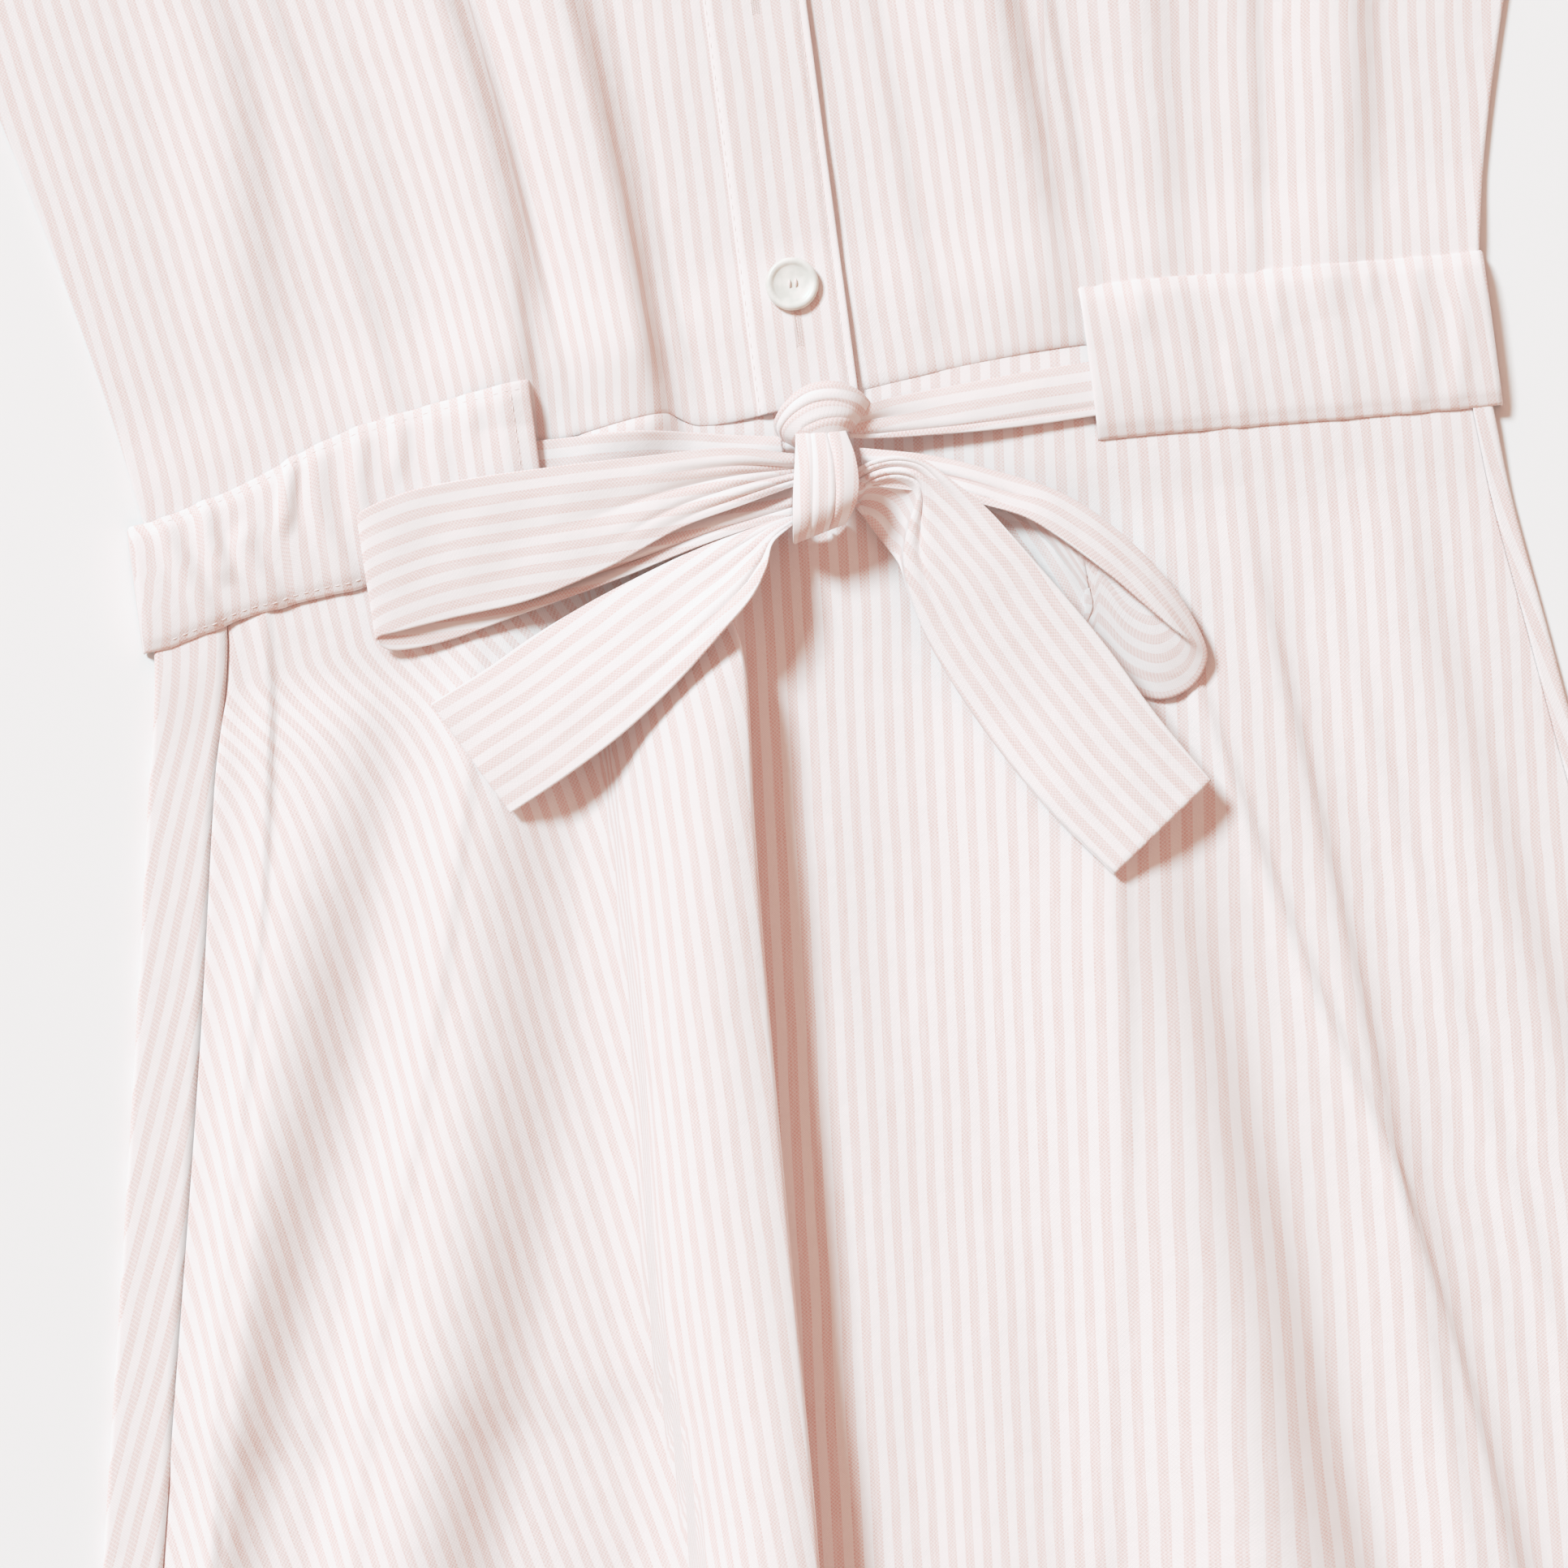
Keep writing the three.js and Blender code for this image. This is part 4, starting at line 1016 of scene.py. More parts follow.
# %% The tie
# Each row: one edge (x, y, height), the other edge (x, y, height), height of the gathers
LOOP_RIGHT = [
    (-6, -15.5, 8.2, -7, -23.8, 8, 1.0), (-23, -11.8, 11, -22, -27.4, 11, 0.9),
    (-45, -11.1, 11.8, -39.5, -31.4, 11.4, 0.6), (-66.8, -10.6, 10.8, -59, -38.8, 9.8, 0.3),
    (-88.7, -10.5, 9.2, -81, -44.6, 7.4, 0.1), (-106.3, -11.3, 8.2, -101, -46.4, 5.8, 0),
    (-118, -13.6, 7.4, -115.5, -48, 5.2, 0), (-123.6, -16, 6, -123, -49.2, 4.2, 0),
    (-120, -18, 4.8, -119.5, -52.8, 2.4, 0), (-106, -19, 4.8, -105, -52.2, 2.2, 0),
    (-80, -19, 5, -84, -47.8, 3.2, 0), (-52, -18, 5.8, -58, -42.4, 6, 0.3),
    (-26, -17.5, 6, -31, -35.6, 8, 0.8), (-7, -17, 4.4, -8.6, -31.4, 6.4, 0.8),
]
TAIL_RIGHT = [
    (-8.4, -31.4, 5.4, -9.2, -34, 8.6, 0.2), (-16, -32.6, 6.6, -15, -38.6, 14, 0.6),
    (-26, -34.8, 7.2, -17.6, -45, 17.4, 1), (-35, -37.2, 7.6, -22.4, -52.2, 19.2, 1),
    (-44, -39.8, 7.8, -30.2, -59.4, 20, 0.8), (-63, -46.4, 8, -45, -72, 19, 0.4),
    (-81, -54, 7.2, -61, -83.3, 16.2, 0), (-95.5, -61.4, 6.4, -77.7, -92.5, 12.4, 0),
    (-111.1, -68.5, 6, -93.6, -100.2, 9, 0),
]
LOOP_LEFT = [
    (11, -16.6, 8, 11.5, -26.2, 8.4, 0.6), (28.4, -20.9, 9, 29.2, -31.1, 11.4, 0.5),
    (43, -26.3, 9, 42.7, -36.4, 13.2, 0.3), (59.5, -33.8, 8.6, 52.5, -41, 14, 0.1),
    (71.5, -42.8, 8.2, 62.2, -49, 14, 0), (82.9, -55.8, 7.8, 73.4, -60, 13.6, 0),
    (91, -69.1, 7.4, 82.4, -70, 12.8, 0), (95, -80.2, 6.6, 88.8, -76.5, 11.4, 0),
    (94.2, -85.7, 5.6, 88.8, -75, 9.8, 0), (89.7, -90.6, 4.8, 86, -69.6, 9.4, 0),
    (82, -92.4, 4.4, 81.6, -64, 9.6, 0), (74, -88.6, 4.4, 77, -58.8, 9.8, 0),
    (67.6, -80.4, 5, 72.6, -54.4, 9.8, 0), (64.4, -72.6, 6.4, 68, -50.4, 9.8, 0),
    (67, -64.6, 8.4, 64.6, -48, 10, 0), (62.2, -55.8, 8.6, 61, -45.6, 9.8, 0),
    (56.4, -46.4, 7.8, 56, -42, 9, 0), (46, -37.4, 6, 46, -34, 7, 0), (12.6, -24, 3.4, 12.7, -18, 4.6, 0.4),
]
TAIL_LEFT = [
    (9.6, -21.7, 10.4, 8.8, -27.2, 7.6, 0.4), (15, -20.1, 12.6, 14.3, -25.4, 10.6, 0.8),
    (21, -20, 14.4, 20, -25.4, 12.4, 0.8), (27.5, -22.3, 15.2, 24.4, -27.8, 12.4, 0.5),
    (34, -28.5, 15.8, 24.4, -32.4, 11.4, 0.3), (41.4, -36.2, 16.2, 21.5, -39, 10, 0.2),
    (47, -44, 16.6, 19.2, -46.8, 8.8, 0.1), (53, -53, 16.8, 19.8, -57, 8, 0),
    (60, -63.6, 16.5, 24, -72, 7.4, 0), (69, -78, 16, 34, -93.5, 8.4, 0),
    (79, -96.5, 15.4, 47.5, -116, 12.4, 0), (91.3, -116.1, 15, 63.3, -136.8, 15.4, 0),
]
# The tail's other edge is folded under and comes out again below the curl next to the knot
TAIL_LEFT_UNDER = [
    (8.2, -30.4, 2.6), (9.6, -33.4, 2.6), (11.2, -36.4, 2.6), (13, -39.6, 2.6), (15, -43, 2.8),
    (17, -46.6, 3), (18.4, -50, 3.8), (19.6, -57.8, 7), (23.8, -72.8, 6.8), (33.8, -94.4, 7.8),
    (47.2, -117, 11.8), (62.8, -137.6, 14.8),
]
# The loop's lower layer shows between the tail and the lip of the layer that is turned over it
LOOP_LEFT_UNDER = [
    (11, -16, 7.6), (28.2, -20.3, 8.4), (42.8, -25.7, 8.4), (59.3, -33.2, 8), (71.8, -42.4, 7.6),
    (83.4, -55.5, 7.2), (91.6, -68.9, 6.8), (95.6, -80.2, 6), (94.8, -86, 5), (90, -91.2, 4.2),
    (82, -93, 3.8), (73.6, -89, 3.8), (66.8, -80.6, 4), (61, -73.6, 3.6), (53, -66, 3.4),
    (49, -57.4, 3.6), (44, -47.6, 3.8), (38, -40, 3.6), (12.6, -24.6, 3),
]
RUN_RIGHT = [
    (-9, -10, 3.4, -9, -20, 2, 0.3), (-22, -7.6, 1.2, -22, -24, 0.8, 0.3),
    (-38, -4.6, 0.8, -38, -26, 0.8, 0.2), (-56, -2.9, 0.8, -56, -26, 0.8, 0),
    (-84, -2, 0.8, -84, -24, 0.8, 0),
]
RUN_LEFT = [
    (10.5, -5.6, 8.4, 8.4, -12.6, 6.6, 0.5), (15.6, -4.6, 6.2, 14.6, -13.6, 4.6, 0.5),
    (22, -3.7, 3.4, 22, -14.4, 3.8, 0.3), (32, -2.9, 1.5, 32, -15, 2.9, 0.1),
    (48.4, -1.9, 1.15, 46.6, -15.6, 2, 0), (66.1, -1.1, 1.0, 64.2, -15.6, 1.0, 0),
    (90, -0.6, 0.9, 90, -15, 0.9, 0),
]
KNOT_WRAP = [
    (-5.4, -9.4, 5.4, 7.4, -9.8, 5.4, 0), (-5.3, -9.8, 9.2, 7.6, -10.2, 9.2, 0),
    (-5.4, -12.2, 12.8, 8, -12.6, 13, 0.2), (-6.6, -19, 15.6, 9.4, -19, 16.2, 0.3),
    (-8.2, -27.6, 17.2, 9.4, -26, 17.6, 0.3), (-9.2, -34.6, 16.6, 8, -30.8, 16.6, 0.2),
    (-9.7, -38.6, 11.4, 5, -35, 11.4, 0.1), (-9.2, -38.2, -0.4, 4.6, -34.8, -0.1, 0),
]
KNOT_OVER = [
    (-9.4, -10.6, 2.4, -5.2, -13.4, 3.4, 0), (-10.2, -6.4, 7, -4.8, -12.8, 8.4, 0.1),
    (-6.6, -1.8, 10.6, -2, -12, 12, 0.2), (-0.6, 1.6, 12, 2, -11.6, 13.4, 0.3),
    (6.2, 1.8, 12, 5.6, -11.6, 13.2, 0.3), (12, -0.8, 10.4, 7.8, -11.4, 11.6, 0.1),
    (15.2, -4.2, 7, 9, -11.4, 8, 0), (15.4, -5.6, 2.4, 9.4, -11.2, 2.8, 0),
]

# %% [markdown]
# From edges to cloth
#
# Each stretch is ruled between its edges, bulged, rippled and creased, and gathered into pleats
# where the knot grips it. The stripes keep their width there and run under the pleats, so the map
# starts at one edge.

# %% From edges to cloth
TIE_WIDTH = 35.0
TIE_LEVEL = 3 * LAYER - GAP
MIN_FLAT = 12      # a bunched stretch's flat size is given as at least this wide, mm
TURN_SHARE = 0.8   # a strip with a third edge keeps this share across for its main face


def tie(rows, lying, detail, under, u, v):
    """Ruled surface between two edges, each a smooth line through its stations, with gathers.
    under is None, or gives the side, 0 or 1, and the line of a third edge beyond that side's lip."""
    table = np.array(rows, float)
    stations = np.linspace(0, 1, len(rows))
    at = [curve(stations, table[:, k], v) for k in range(7)]
    full = u
    if under is not None:
        side, line = under
        from_lip = full if side else 1 - full
        past = np.clip((from_lip - TURN_SHARE) / (1 - TURN_SHARE), 0, 1)
        main = np.minimum(from_lip / TURN_SHARE, 1)
        u = main if side else 1 - main
    x, y, z = (lerp(at[k], at[k + 3], u) for k in range(3))
    if under is not None:
        third = [curve(stations, np.array(line, float)[:, k], v) for k in range(3)]
        x, y = lerp(x, third[0], past), lerp(y, third[1], past)
        z = lerp(z, third[2], 1 - (1 - past) ** 2.4)
    wave = at[6] * np.sin(u * np.pi * 3) * np.sin(u * np.pi)
    bulge, ripple, lines = detail
    hump = np.sin(u * np.pi)
    wave = wave + bulge * hump ** 0.8 + ripple * swell(x, y, len(rows), 15) * hump
    for u0, u1, v0, v1, deep, half in lines:
        t = np.clip((v - v0) / (v1 - v0), 0, 1)
        middle = lerp(u0, u1, t)
        present = soft((v - v0) / 0.02 + 1) * (1 - soft(t))
        wave = wave - deep * present * np.exp(-((full - middle) / half) ** 2)
    return stack(x, y, z + wave + (front_top(x, y) + GAP if lying else TIE_LEVEL))


def tie_map(points, hold):
    """Length across the strip from the edge that the stripes follow: hold 0 for the first edge,
    1 for the second."""
    across = lengths(points, 0)
    return np.stack([across + hold * (TIE_WIDTH - across[-1:]), lengths(points, 1)], axis=-1)


# %% [markdown]
# The stretches of the tie
#
# Each stretch has a bulge, a ripple and creases that run out of the knot.

# %% The stretches of the tie
# Height of the bulge and of the ripple, then the creases: across from and to, along from and to,
# depth and half width
DETAIL = {
    "tie_run_right": (0.5, 0.15, [(0.5, 0.4, 0, 0.4, 0.7, 0.08)]),
    "tie_run_left": (0.6, 0.1, [(0.86, 0.8, 0, 1.4, 0.9, 0.05), (0.4, 0.5, 0, 0.6, 0.5, 0.08)]),
    "tie_tail_right": (0.6, 0.3, [(0.3, 0.3, 0, 0.7, 1.2, 0.06), (0.84, 0.8, 0, 0.9, 1.9, 0.05),
                                  (0.58, 0.5, 0, 0.6, 1.3, 0.05)]),
    "tie_tail_left": (0.5, 0.25, [(0.69, 0.66, 0.05, 1.0, 3.0, 0.045), (0.4, 0.44, 0, 0.5, 1.4, 0.06),
                                  (0.16, 0.28, 0, 0.8, 1.0, 0.05), (0.98, 0.98, 0, 0.7, -1.6, 0.02)]),
    "tie_loop_right": (0.4, 0.35, [(0.6, 0.84, 0, 0.26, 2.0, 0.05), (0.8, 0.94, 0, 0.2, 1.5, 0.04),
                                   (0.36, 0.22, 0, 0.2, 1.2, 0.05), (0.45, 0.55, 0, 0.32, 1.0, 0.05),
                                   (0.86, 0.8, 0.78, 1.6, 1.2, 0.04)]),
    "tie_loop_left": (0.4, 0.3, [(0.52, 0.6, 0, 0.26, 1.3, 0.06), (0.8, 0.84, 0, 0.2, 1.0, 0.04),
                                 (0.07, 0.2, 0.7, 0.95, -3.4, 0.035)]),
    "tie_knot_wrap": (1.6, 0.1, [(0.62, 0.78, 0, 3, 1.2, 0.03), (0.3, 0.3, 0, 3, 0.5, 0.04)]),
    "tie_knot_over": (2.0, 0.1, [(0.3, 0.5, 0, 1.2, 0.9, 0.05), (0.1, 0.2, 0, 0.9, 0.9, 0.04),
                                 (0.74, 0.62, 0.3, 2, 0.5, 0.05)]),
}
UNDER = {"tie_tail_left": (1, TAIL_LEFT_UNDER), "tie_loop_left": (0, LOOP_LEFT_UNDER)}
TIES = {   # rows, lying on the front, rough length in metres, spans across and along, hold, half wall
    "tie_run_right": (RUN_RIGHT, True, 0.075, 30, 70, 0, 0.5),
    "tie_run_left": (RUN_LEFT, True, 0.072, 30, 70, 0, 0.9),
    "tie_tail_right": (TAIL_RIGHT, False, 0.14, 64, 130, 0.5, 0.5),
    "tie_tail_left": (TAIL_LEFT, False, 0.16, 80, 150, 0.5, 0.5),
    "tie_loop_right": (LOOP_RIGHT, False, 0.24, 60, 260, 0, 0.5),
    "tie_loop_left": (LOOP_LEFT, False, 0.22, 76, 240, 0, 0.5),
    "tie_knot_wrap": (KNOT_WRAP, False, 0.055, 60, 70, 0.5, 0.5),
    "tie_knot_over": (KNOT_OVER, False, 0.05, 60, 70, 0.5, 0.5),
}
for node, (rows, lying, long, across_count, along_count, hold, half) in TIES.items():
    U, V = grid(edged(even(across_count), 30), edged(even(along_count), 1000 * long))
    points = tie(rows, lying, DETAIL[node], UNDER.get(node), U, V)
    wide, run = lengths(points, 0)[-1].mean(), lengths(points, 1)[:, -1].mean()
    flat = (max(float(wide), MIN_FLAT) * MM, float(run) * MM)
    print(f"{node}: {flat[0]:.3f} m across, {flat[1]:.3f} m along")
    cloth(node, points, tie_map(points, hold), flat, "folded" if node == "tie_run_left" else "gathered",
          top=half, bottom=-half, material=tie_cotton, slot="tie_cotton")

# %% [markdown]
# Sleeves
#
# Each short sleeve is a tube lying flat, its lower side on the table.

# %% Sleeves
SLEEVE = dict(arm_top=372, arm_under=205, hem_top=(372, 282), hem_under=(318, 138), ease=3.2, half=2.7)


def sleeve(side, u, v):
    """A flattened round: the powers of sine and cosine square it off."""
    angle = u * np.pi * 2
    swing = np.sign(np.cos(angle)) * np.abs(np.cos(angle)) ** 0.8
    lift = np.sign(np.sin(angle)) * np.abs(np.sin(angle)) ** 0.45
    across = (swing + 1) / 2
    arm_y = lerp(SLEEVE["arm_under"], SLEEVE["arm_top"], across)
    hem = [lerp(SLEEVE["hem_under"][k], SLEEVE["hem_top"][k], across) for k in (0, 1)]
    x = lerp(bodice_half(arm_y) + SLEEVE["ease"] - 2.4, hem[0], v)
    half = SLEEVE["half"] - MID
    crease = 0.8 * soft(lift * 2) * swell(x, arm_y, 21, 40) * soft(v * 6) * soft((1 - np.abs(swing)) * 5)
    return stack(side * x, lerp(arm_y, hem[1], v), MID + half + half * lift + np.maximum(crease, 0))


for side, node in ((-1, "sleeve_right"), (1, "sleeve_left")):
    U, V = grid(even(96)[:-1], edged(even(56), 150))
    points = sleeve(side, side * U, V)
    ring = lengths(np.concatenate([points, points[:1]]), 0)
    sleeve_map = np.stack([ring, np.concatenate([lengths(points, 1)] * 2)[:len(ring)]], axis=-1)
    cloth(node, points, sleeve_map, (0.34, 0.16), "laid", area=0.047, rests_on=["bodice_back"], closed=True)

# %% [markdown]
# Collar
#
# The stand rises from the neckline and is open in front, and the fall turns over it and lies on
# the shoulders with a point on each side.

# %% Collar
NECK = dict(x=66, y=368, front=40, back=30)
STAND_HEIGHT, STAND_OPEN = 24, 0.1
COLLAR_FOLD, COLLAR_SEAM, COLLAR_BACK, COLLAR_POINT = 2.2, 1.1, 38, 66
COLLAR_SPREAD, COLLAR_OPEN = 0.45, 0.2


def stand(angle, t):
    """Points of the stand: angle goes round the neck from the front, and t up."""
    depth = np.where(np.cos(angle) > 0, NECK["front"], NECK["back"])
    foot = [NECK["x"] * np.sin(angle), NECK["y"] - depth * np.cos(angle)]
    back = (1 - np.cos(angle)) / 2
    tilt = lerp(0.5, 1.35, back)
    inward = [-foot[0], NECK["y"] - foot[1]]
    size = np.hypot(*inward)
    out = 3 + np.cos(tilt) * STAND_HEIGHT * t
    return stack(foot[0] + inward[0] / size * out, foot[1] + inward[1] / size * out,
                 lerp(7.2, 2.6, back) + MID + np.sin(tilt) * STAND_HEIGHT * t)


def fall(angle, t):
    """Points of the fall: up from the stand, over the fold and out to the edge."""
    top = stand(angle, 1 + COLLAR_SEAM / STAND_HEIGHT)
    turned = np.minimum(angle, 2 * np.pi - angle)
    side = np.where(angle > np.pi, -1, 1)
    back = (1 - np.cos(angle)) / 2
    frontness = np.exp(-(turned - COLLAR_OPEN) / COLLAR_SPREAD)
    heading = turned + 0.42 * frontness
    wide = COLLAR_BACK + (COLLAR_POINT - COLLAR_BACK) * frontness
    over = np.clip(t * 3, 0, 1)
    out = np.clip((t * 3 - 1) / 2, 0, 1)
    away = COLLAR_FOLD * (1 - np.cos(over * np.pi)) + out * wide
    z = top[..., 2] + COLLAR_FOLD * np.sin(over * np.pi) - out ** 0.8 * (top[..., 2] - lerp(9.4, 6.4, back))
    return stack(top[..., 0] + side * np.sin(heading) * away, top[..., 1] - np.cos(heading) * away, z)


U, V = grid(edged(even(120), 400), edged(even(16), 24))
points = stand(lerp(STAND_OPEN, 2 * np.pi - STAND_OPEN, U), V)
cloth("collar_stand", points, simple_map(points), (0.26, 0.025), "stretched", **THIN_WALL)
U, V = grid(edged(even(150), 500), edged(shared(16, 14, 14), 60))
points = fall(lerp(COLLAR_OPEN, 2 * np.pi - COLLAR_OPEN, U), V)
cloth("collar", points, simple_map(points), (0.42, 0.075), "folded", area=0.018, **THIN_WALL)

# %% [markdown]
# Buttons
#
# Small pearly buttons with a raised rim and a shallow well, sewn on with a few turns of thread.
# Each is a profile turned about its middle.

# %% Buttons
BUTTON = dict(x=-0.8, shank=0.8, radius=7.1, thick=2.4, rim=0.9, well=2.6, first=32, pitch=88, count=4)
pearl = Paint("pearl", Roughness=0.4, Coat_Weight=0.15, Coat_Roughness=0.3, Specular_IOR_Level=0.4)
cloud = pearl.noise(260.0, 3.0)
pearl.feed(Base_Color=pearl.mix(cloud.step(0.35, 0.7), linear(226, 222, 214), linear(244, 241, 235)),
           Roughness=0.3 + cloud * 0.2)


def button(name, y, turns=64):
    """Makes one button on the band at a height, and returns the middle of its upper face."""
    b = BUTTON
    r, t, rim, well = b["radius"], b["thick"], b["rim"], b["well"]
    profile = np.array([
        (0, 0), (r - rim, 0), (r - 0.2, t * 0.14), (r, t * 0.35), (r, t * 0.62), (r - 0.2, t * 0.84),
        (r - rim * 0.6, t * 0.98), (r - rim * 1.2, t * 1.0), (r - rim * 1.8, t * 0.94),
        (r - 2.2 * rim, t * 0.8), (r - 2.6 * rim, t * 0.72), (well + 0.9, t * 0.7), (well, t * 0.63),
        (well * 0.6, t * 0.6), (0, t * 0.6)])
    angle = np.arange(turns) / turns * 2 * np.pi
    ring = np.stack([profile[:, None, 0] * np.cos(angle), profile[:, None, 0] * np.sin(angle),
                     profile[:, None, 1] + 0 * angle], axis=-1)
    top = band(*(np.array(at) for at in band_at(b["x"], y)))
    corners_mm = ring.reshape(-1, 3) + np.array([b["x"], top[1], top[2] + MID + b["shank"]])
    i, j = np.meshgrid(np.arange(len(profile) - 1), np.arange(turns), indexing="ij")
    i, j = i.ravel(), j.ravel()
    faces = np.stack([i * turns + j, i * turns + (j + 1) % turns, (i + 1) * turns + (j + 1) % turns,
                      (i + 1) * turns + j], axis=1)
    piece = build(f"pearl_{name}", corners_mm, faces, None, pearl.material)
    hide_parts(name)
    return corners_mm[-1]


button_ys = [BUTTON["first"] + k * BUTTON["pitch"] for k in range(BUTTON["count"])]
button_tops = [button(f"button_{k + 1}", y) for k, y in enumerate(button_ys)]

# %% [markdown]
# Stitches
#
# Each stitch is a short spindle of thread, half sunk in the cloth. A row of them follows a line
# on a panel, so the line is worked out with the panel's own formula.

# %% Stitches
STITCH, STITCH_GAP, THREAD_RADIUS = 2.1, 0.8, 0.17
SIDES, RINGS = 6, 5


def row_of_stitches(line, up, length=STITCH, space=STITCH_GAP, radius=THREAD_RADIUS):
    """Spindles along a line of points, with their up directions."""
    along = lengths(line, 0)
    starts = np.arange(0.4, along[-1] - length, length + space)
    t = np.linspace(0, 1, RINGS)
    at = starts[:, None] + t * length
    centre = np.stack([np.interp(at, along, line[:, k]) for k in range(3)], axis=-1)
    normal = np.stack([np.interp(at, along, up[:, k]) for k in range(3)], axis=-1)
    forward = centre[:, -1:] - centre[:, :1]
    forward = forward / np.linalg.norm(forward, axis=-1, keepdims=True)
    sideways = np.cross(normal, forward)
    bulge = (np.sin(np.pi * t) ** 0.5)[:, None]
    centre = centre + normal * (bulge * radius * 1.1 - radius * 0.7)
    angle = np.arange(SIDES) / SIDES * 2 * np.pi
    ring = (sideways[:, :, None] * np.cos(angle)[:, None] + normal[:, :, None] * np.sin(angle)[:, None])
    thick = radius * (0.25 + 0.75 * bulge)
    return (centre[:, :, None] + ring * thick[None, :, None]).reshape(-1, RINGS, SIDES, 3)


def along_panel(place, us, vs, top=SHEET_TOP):
    """Line on a panel's upper face, and its normals, for paths of u and v."""
    us, vs = np.broadcast_arrays(np.asarray(us, float), np.asarray(vs, float))
    step = 1e-3
    points = place(us, vs)
    right = place(np.minimum(us + step, 1), vs) - place(np.maximum(us - step, 0), vs)
    down = place(us, np.minimum(vs + step, 1)) - place(us, np.maximum(vs - step, 0))
    out = np.cross(right, down)
    out = out / np.linalg.norm(out, axis=-1, keepdims=True)
    return points + out * top, out


def sewn(name, *rows):
    """Makes one object of the stitches of several rows."""
    stitches = np.concatenate(rows)
    count = len(stitches)
    corners_mm = stitches.reshape(-1, 3)
    i, j = np.meshgrid(np.arange(RINGS - 1), np.arange(SIDES), indexing="ij")
    i, j = i.ravel(), j.ravel()
    low, high, beside = i * SIDES, (i + 1) * SIDES, (j + 1) % SIDES
    faces = np.stack([low + j, high + j, high + beside, low + beside], axis=1)
    faces = (faces[None] + (np.arange(count) * RINGS * SIDES)[:, None, None]).reshape(-1, 4)
    piece = build(name, corners_mm, faces, None, thread.material)
    print(f"{name}: {count} stitches, {len(piece.data.polygons) * 2} triangles")


# %% [markdown]
# Rows of stitches
#
# The band and the channel have a row near each edge, the skirt has one under the waist seam and two
# at the hem, and the pocket's mouth has one with a bar tack at each end.

# %% Rows of stitches
fine = np.linspace(0, 1, 400)
sewn("stitches_band",
     row_of_stitches(*along_panel(band, band_at(BAND_RIGHT - BAND_STITCH, 0)[0], fine)),
     row_of_stitches(*along_panel(band, 0.045, fine, SHEET_TOP - 0.05)))

channel_rows = []
inset = CHANNEL_STITCH / (2 * CHANNEL_HALF)
for end_x, side in CHANNELS.values():
    strip = partial(channel, end_x, side)
    for edge in (inset, 1 - inset):
        channel_rows.append(row_of_stitches(*along_panel(strip, np.linspace(0.01, 0.5, 300), edge)))
    channel_rows.append(row_of_stitches(*along_panel(strip, 0.024, np.linspace(0.07, 0.93, 60))))
sewn("stitches_channel", *channel_rows)


def front(u, v):
    """The skirt front's points alone."""
    return skirt_front(u, v)[0]


def front_line(x_mm, y_mm):
    """Line on the skirt front through points in millimetres: u is found by halving."""
    v = -np.asarray(y_mm, float) / SKIRT_LENGTH
    low, high = np.zeros_like(v), np.ones_like(v)
    for _ in range(24):
        middle = (low + high) / 2
        short = front(middle, v)[..., 0] < x_mm
        low, high = np.where(short, middle, low), np.where(short, high, middle)
    return along_panel(front, (low + high) / 2, v)


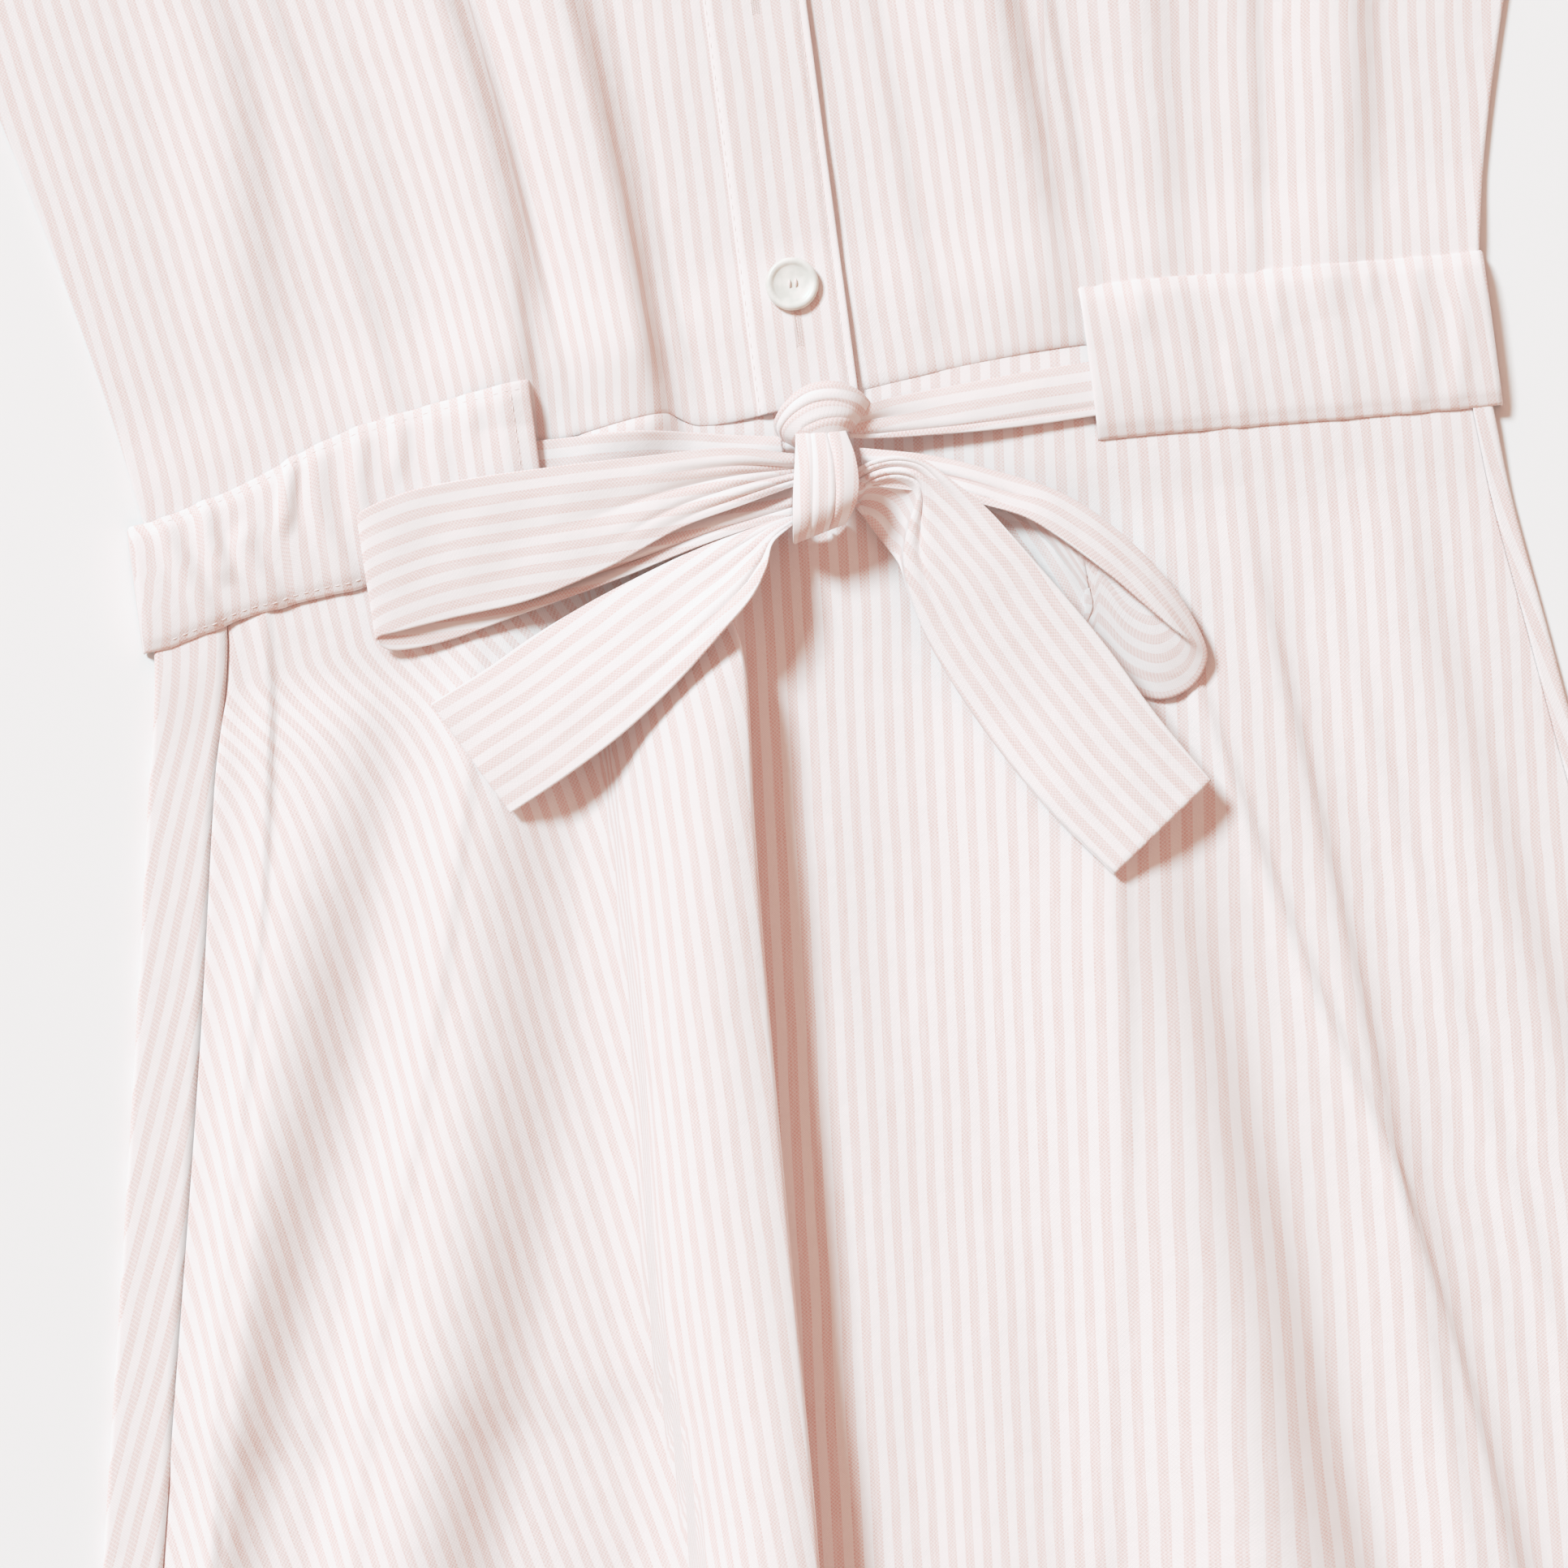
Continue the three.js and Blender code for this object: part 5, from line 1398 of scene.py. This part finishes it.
sewn("stitches_waist", row_of_stitches(
    *along_panel(front, np.linspace(0.3, 0.72, 700), 1.0 / SKIRT_LENGTH), 1.2, 0.9, 0.13))
sewn("stitches_hem", row_of_stitches(*along_panel(front, fine, 1 - 14 / SKIRT_LENGTH)),
     row_of_stitches(*along_panel(front, fine, 1 - 2 / SKIRT_LENGTH)))
down_mm = np.linspace(POCKET["mouth_top"] - 3, POCKET["mouth_bottom"] + 1, 80)
mouth = curve([-230, -222, -180, -126, -90, -78], [-193, -190, -178, -167.4, -163.2, -162.4], down_mm)
bars = [row_of_stitches(*front_line(np.linspace(at - 7.4, at, 12), np.full(12, float(y))), 6.6, 0.5, 0.42)
        for at, y in ((-162.6, -78), (-188, -230))]
sewn("stitches_pocket", row_of_stitches(*front_line(mouth, down_mm)), *bars)
collar_t = np.full(500, 0.93)
round_u = np.linspace(0.012, 0.988, 500)
sewn("stitches_collar", row_of_stitches(*along_panel(
    lambda u, v: fall(lerp(COLLAR_OPEN, 2 * np.pi - COLLAR_OPEN, u), v), round_u, collar_t, 0.5)))
for side, name in ((-1, "right"), (1, "left")):
    sewn(f"stitches_sleeve_{name}", row_of_stitches(*along_panel(
        lambda u, v: sleeve(side, side * u, v), np.linspace(0.001, 0.999, 600), 0.9)))

# %% [markdown]
# Buttonholes and button threads
#
# A buttonhole is a slit edged with close zigzag stitches, and it shows below its button. Two turns
# of thread hold the button on.

# %% Buttonholes and button threads
def buttonhole(y):
    """Close zigzag stitches on both sides of the slit under a button."""
    ys = y + np.arange(-16.5, 1, 0.24)
    rows = []
    for inner, outer in ((-0.15, -1.05), (0.15, 1.05)):
        x = BUTTON["x"] + np.where(np.arange(len(ys)) % 2 == 0, inner, outer)
        rows.append(row_of_stitches(*along_panel(band, *band_at(x, ys)), 0.9, 0.03, 0.17))
    return rows


def button_thread(centre):
    """Two turns of thread over the middle of a button."""
    x, y, z = centre
    k = np.arange(4)
    rows = []
    for away in (-0.85, 0.85):
        line = stack(x + away + 0.12 * k, y - 1.5 + k, z + 0.25)
        rows.append(row_of_stitches(line, np.tile([0.0, 0, 1], (4, 1)), 2.5, 0.4, 0.36))
    return rows


holes = []
for y, top in zip(button_ys, button_tops):
    holes += buttonhole(y) + button_thread(top)
sewn("stitches_buttons", *holes)

# %% [markdown]
# Statements and finish
#
# For each panel the words of a sheet are gathered: the size that it would be cut to, how it is
# held and what it rests on.

# %% Statements and finish
for piece, flat, held, area, rests_on in sheets:
    words = dict(flat=flat, held=held)
    if area is not None:
        words["area"] = area
    if rests_on:
        words["rests_on"] = list(rests_on)
